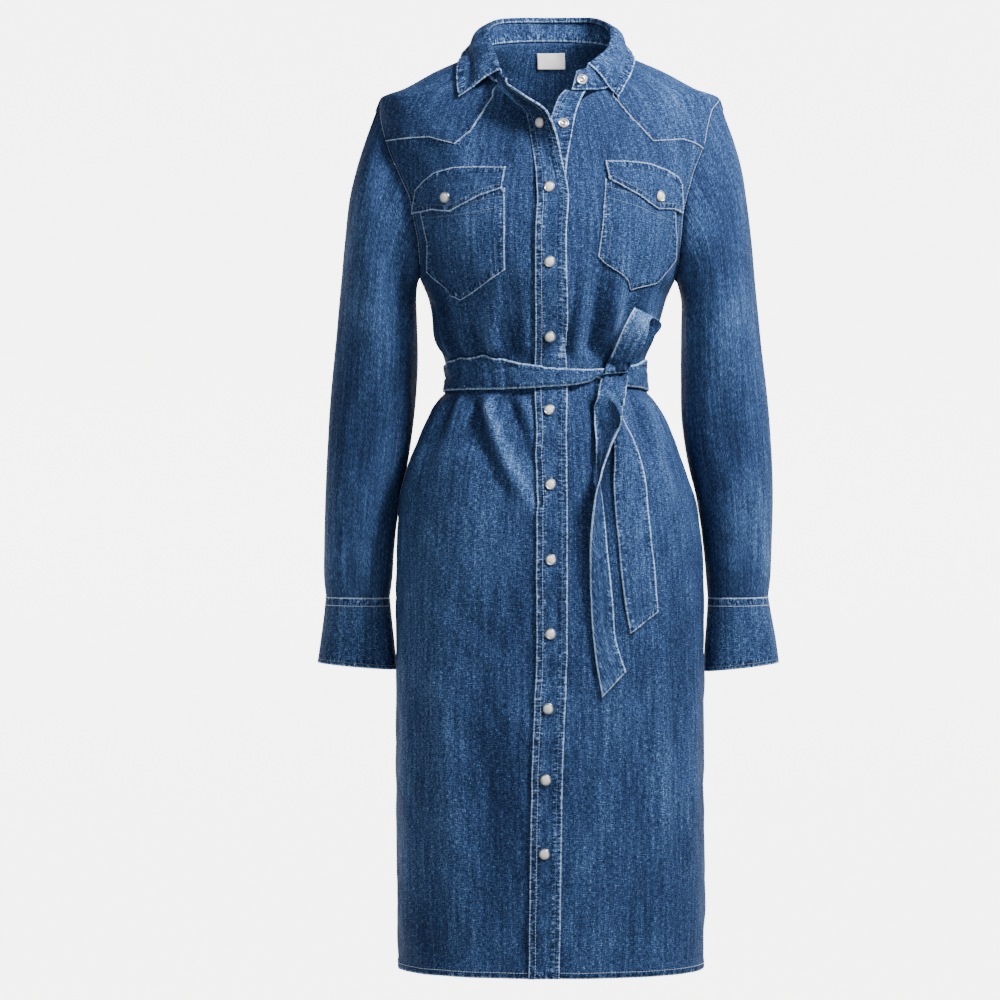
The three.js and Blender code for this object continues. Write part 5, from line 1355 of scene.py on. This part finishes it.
FRONT_SNAPS_Z = [-143, -226, -309, -393, -476, -560, -643, -726, -806, -889]
for k, z in enumerate(FRONT_SNAPS_Z, 1):
    snap_on_body(f"snap_front_{k}", placket_x(z) - 1.5, z, float(outer_lift(z)) + BAND + 0.25, True)
snap_on_body("snap_neck_cap", -10, -72, float(outer_lift(-85)) + BAND + 0.25, True)
snap_on_body("snap_neck_stud", 15, -72, BAND + 0.1, cap=False)
snap_on_body("snap_pocket_right", *RIGHT_POCKET["snap"], FLAP_LIFT + 0.9)
snap_on_body("snap_pocket_left", *LEFT_POCKET["snap"], FLAP_LIFT + 0.9)
for name, u, cap in (("snap_stand_stud", 0.97, False), ("snap_stand_cap", 0.125, True)):
    here = lambda du, dv: stand_at(np.array(u + du), np.array(0.5 + dv))
    normal = unit(np.cross(here(0, 0.1) - here(0, -0.1), here(0.01, 0) - here(-0.01, 0)))
    snap(name, here(0, 0) + normal * 1.6, normal, cap)

# Where the armhole starts on a front's side, and the size of the larger stitches
ARM_START = 0.735
WORN_SIZE = {"length": 3.0, "width": 0.8}
POCKET_SIZE = {"length": 2.9, "width": 0.65}
stitching("placket", [("l", 1.0, 0, 0.92), ("l", 7.3, 0, 0.88), ("r", 1.0)],
          [("r", 6.3), ("l", 1.0, 0.92, 1), ("l", 7.3, 0.88, 1)])
stitching("placket_under", [("r", 1.2)], [("l", 5.8, 0.84, 1)])
for piece in ("front_right", "front_left"):
    stitching(piece, [("b", 6.5), ("r", 1.6, ARM_START, 1)], [("r", 7.4, ARM_START, 1)])
stitching("back", [("b", 6.5), ("l", 1.6), ("r", 1.6)], [("l", 7.4), ("r", 7.4)])
stitching("yoke_back", [("b", 1.4), ("l", 1.6, 0.08, 0.97), ("r", 1.6, 0.08, 0.97)], [("b", 7.0)])
for piece in ("yoke_front_right", "yoke_front_left"):
    stitching(piece, [("b", 1.2), ("l", 1.6, 0.1, 1)], [("t", 1.6)], **WORN_SIZE)
for piece in ("cuff_right", "cuff_left"):
    stitching(piece, [("b", 1.0), ("b", 9.5)], [("t", 4.5)], **WORN_SIZE)
stitching("collar_leaf", [("t", 6.0, 0.02, 0.98)], [("l", 4.0, 0.1, 0.93), ("r", 4.0, 0.1, 0.93)])
stitching("belt", [], [("b", 2.0), ("t", 2.0)])
stitching("belt_loop", [], [("l", 3.0), ("r", 3.0)])
for piece in ("belt_tail_long", "belt_tail_short"):
    stitching(piece, [], [("l", 2.0), ("r", 2.0), ("t", 2.0, 0.06, 0.94)])
for side, inner in (("right", "r"), ("left", "l")):
    stitching(f"pocket_{side}", [(line, 1.2) for line in "lrb"],
              [("t", 9), ("t", 21), (inner, 12.5, 0.06, 0.45)], **POCKET_SIZE)
    stitching(f"flap_{side}", [(line, 1.2) for line in "tblr"], [("t", 6.8, 0.05, 0.95)], **POCKET_SIZE)

# Flat sizes of the cloth before it was sewn, in metres: width, length and the cut's own area,
# which fills at least a part of the two
LEAST_FILLED = 0.31
for name, g in grids.items():
    wide, tall = float(g["over"][:, -1].max()) * MM, float(g["up"][-1].max()) * MM
    p = g["points"]
    if g["ring"]:
        wide *= 1 + 1 / g["over"].shape[1]
        p = np.concatenate([p, p[:, :1]], axis=1)
    cells = np.cross(p[1:, 1:] - p[:-1, :-1], p[:-1, 1:] - p[1:, :-1])
    area = float(np.linalg.norm(cells, axis=2).sum()) / 2 * MM * MM
    flat = (round(wide, 3), round(tall, 3))
    area = min(max(area, LEAST_FILLED * flat[0] * flat[1]), flat[0] * flat[1])


# Backdrop, light and camera, in metres
def backdrop():
    """A floor far below that bends up into the wall behind."""
    floor, bend, arc = 13, 1.5, 2.36
    form = bmesh.new()
    bmesh.ops.create_grid(form, x_segments=2, y_segments=60, size=1)
    for vert in form.verts:
        run = (vert.co.y + 1) * 9.5
        turn = min(max((run - floor) / arc, 0), 1) * math.pi / 2
        past = max(run - floor - arc, 0)
        vert.co = Vector((vert.co.x * 11, -7 + min(run, floor) + bend * math.sin(turn),
                          -2.2 + bend * (1 - math.cos(turn)) + past))
    mesh = bpy.data.meshes.new("backdrop")
    form.to_mesh(mesh)
    form.free()
    mesh.shade_smooth()
    wall, tree, shader = node_tree("backdrop")
    depth = new_node(tree, "ShaderNodeSeparateXYZ", {0: solid_place(tree)}).outputs[1]
    wire(tree, shader, {
        "Base Color": (0.80, 0.80, 0.79, 1), "Roughness": 1.0, "Emission Color": (0.87, 0.87, 0.855, 1),
        "Emission Strength": ramp(tree, depth, 0.3, 3.5, 0.25, 5.2)})
    mesh.materials.append(wall)
    add("backdrop", mesh)


def light(name, kind, place, target, power, **settings):
    lamp = add(name, bpy.data.lights.new(name, kind))
    lamp.location = place
    lamp.rotation_euler = (Vector(target) - Vector(place)).to_track_quat("-Z", "Y").to_euler()
    lamp.data.energy = power
    for key, value in settings.items():
        setattr(lamp.data, key, value)


backdrop()
light("key", "AREA", (0.95, -0.8, 0.8), (0, 0, -0.3), 82, shape="DISK", size=0.42)
light("fill", "AREA", (-1.8, -3.6, -0.3), (0, 0, -0.6), 24, shape="DISK", size=2.4)
light("top", "AREA", (0.1, -1.1, 1.6), (0, 0, 0), 13, shape="DISK", size=0.8)
light("back", "AREA", (-0.3, 2.6, 0.6), (0, 0, -0.5), 26, shape="DISK", size=1.6)
light("neck", "SPOT", (0.02, -1.0, 0.32), (0.005, 0.06, -0.032), 50, spot_size=0.13, spot_blend=1.0,
      shadow_soft_size=0.06)

world = bpy.data.worlds.new("studio")
world.use_nodes = True
world.node_tree.nodes["Background"].inputs[0].default_value = (0.9, 0.92, 0.95, 1)
world.node_tree.nodes["Background"].inputs[1].default_value = 0.22
bpy.context.scene.world = world

camera = add("camera", bpy.data.cameras.new("camera"))
camera.data.lens, camera.data.sensor_width, camera.data.clip_end = 128.6, 36, 60
camera.location = (VIEW_X * MM, -VIEW_DISTANCE * MM, VIEW_HEIGHT * MM)
camera.rotation_euler = (math.pi / 2, 0, 0)
bpy.context.scene.camera = camera
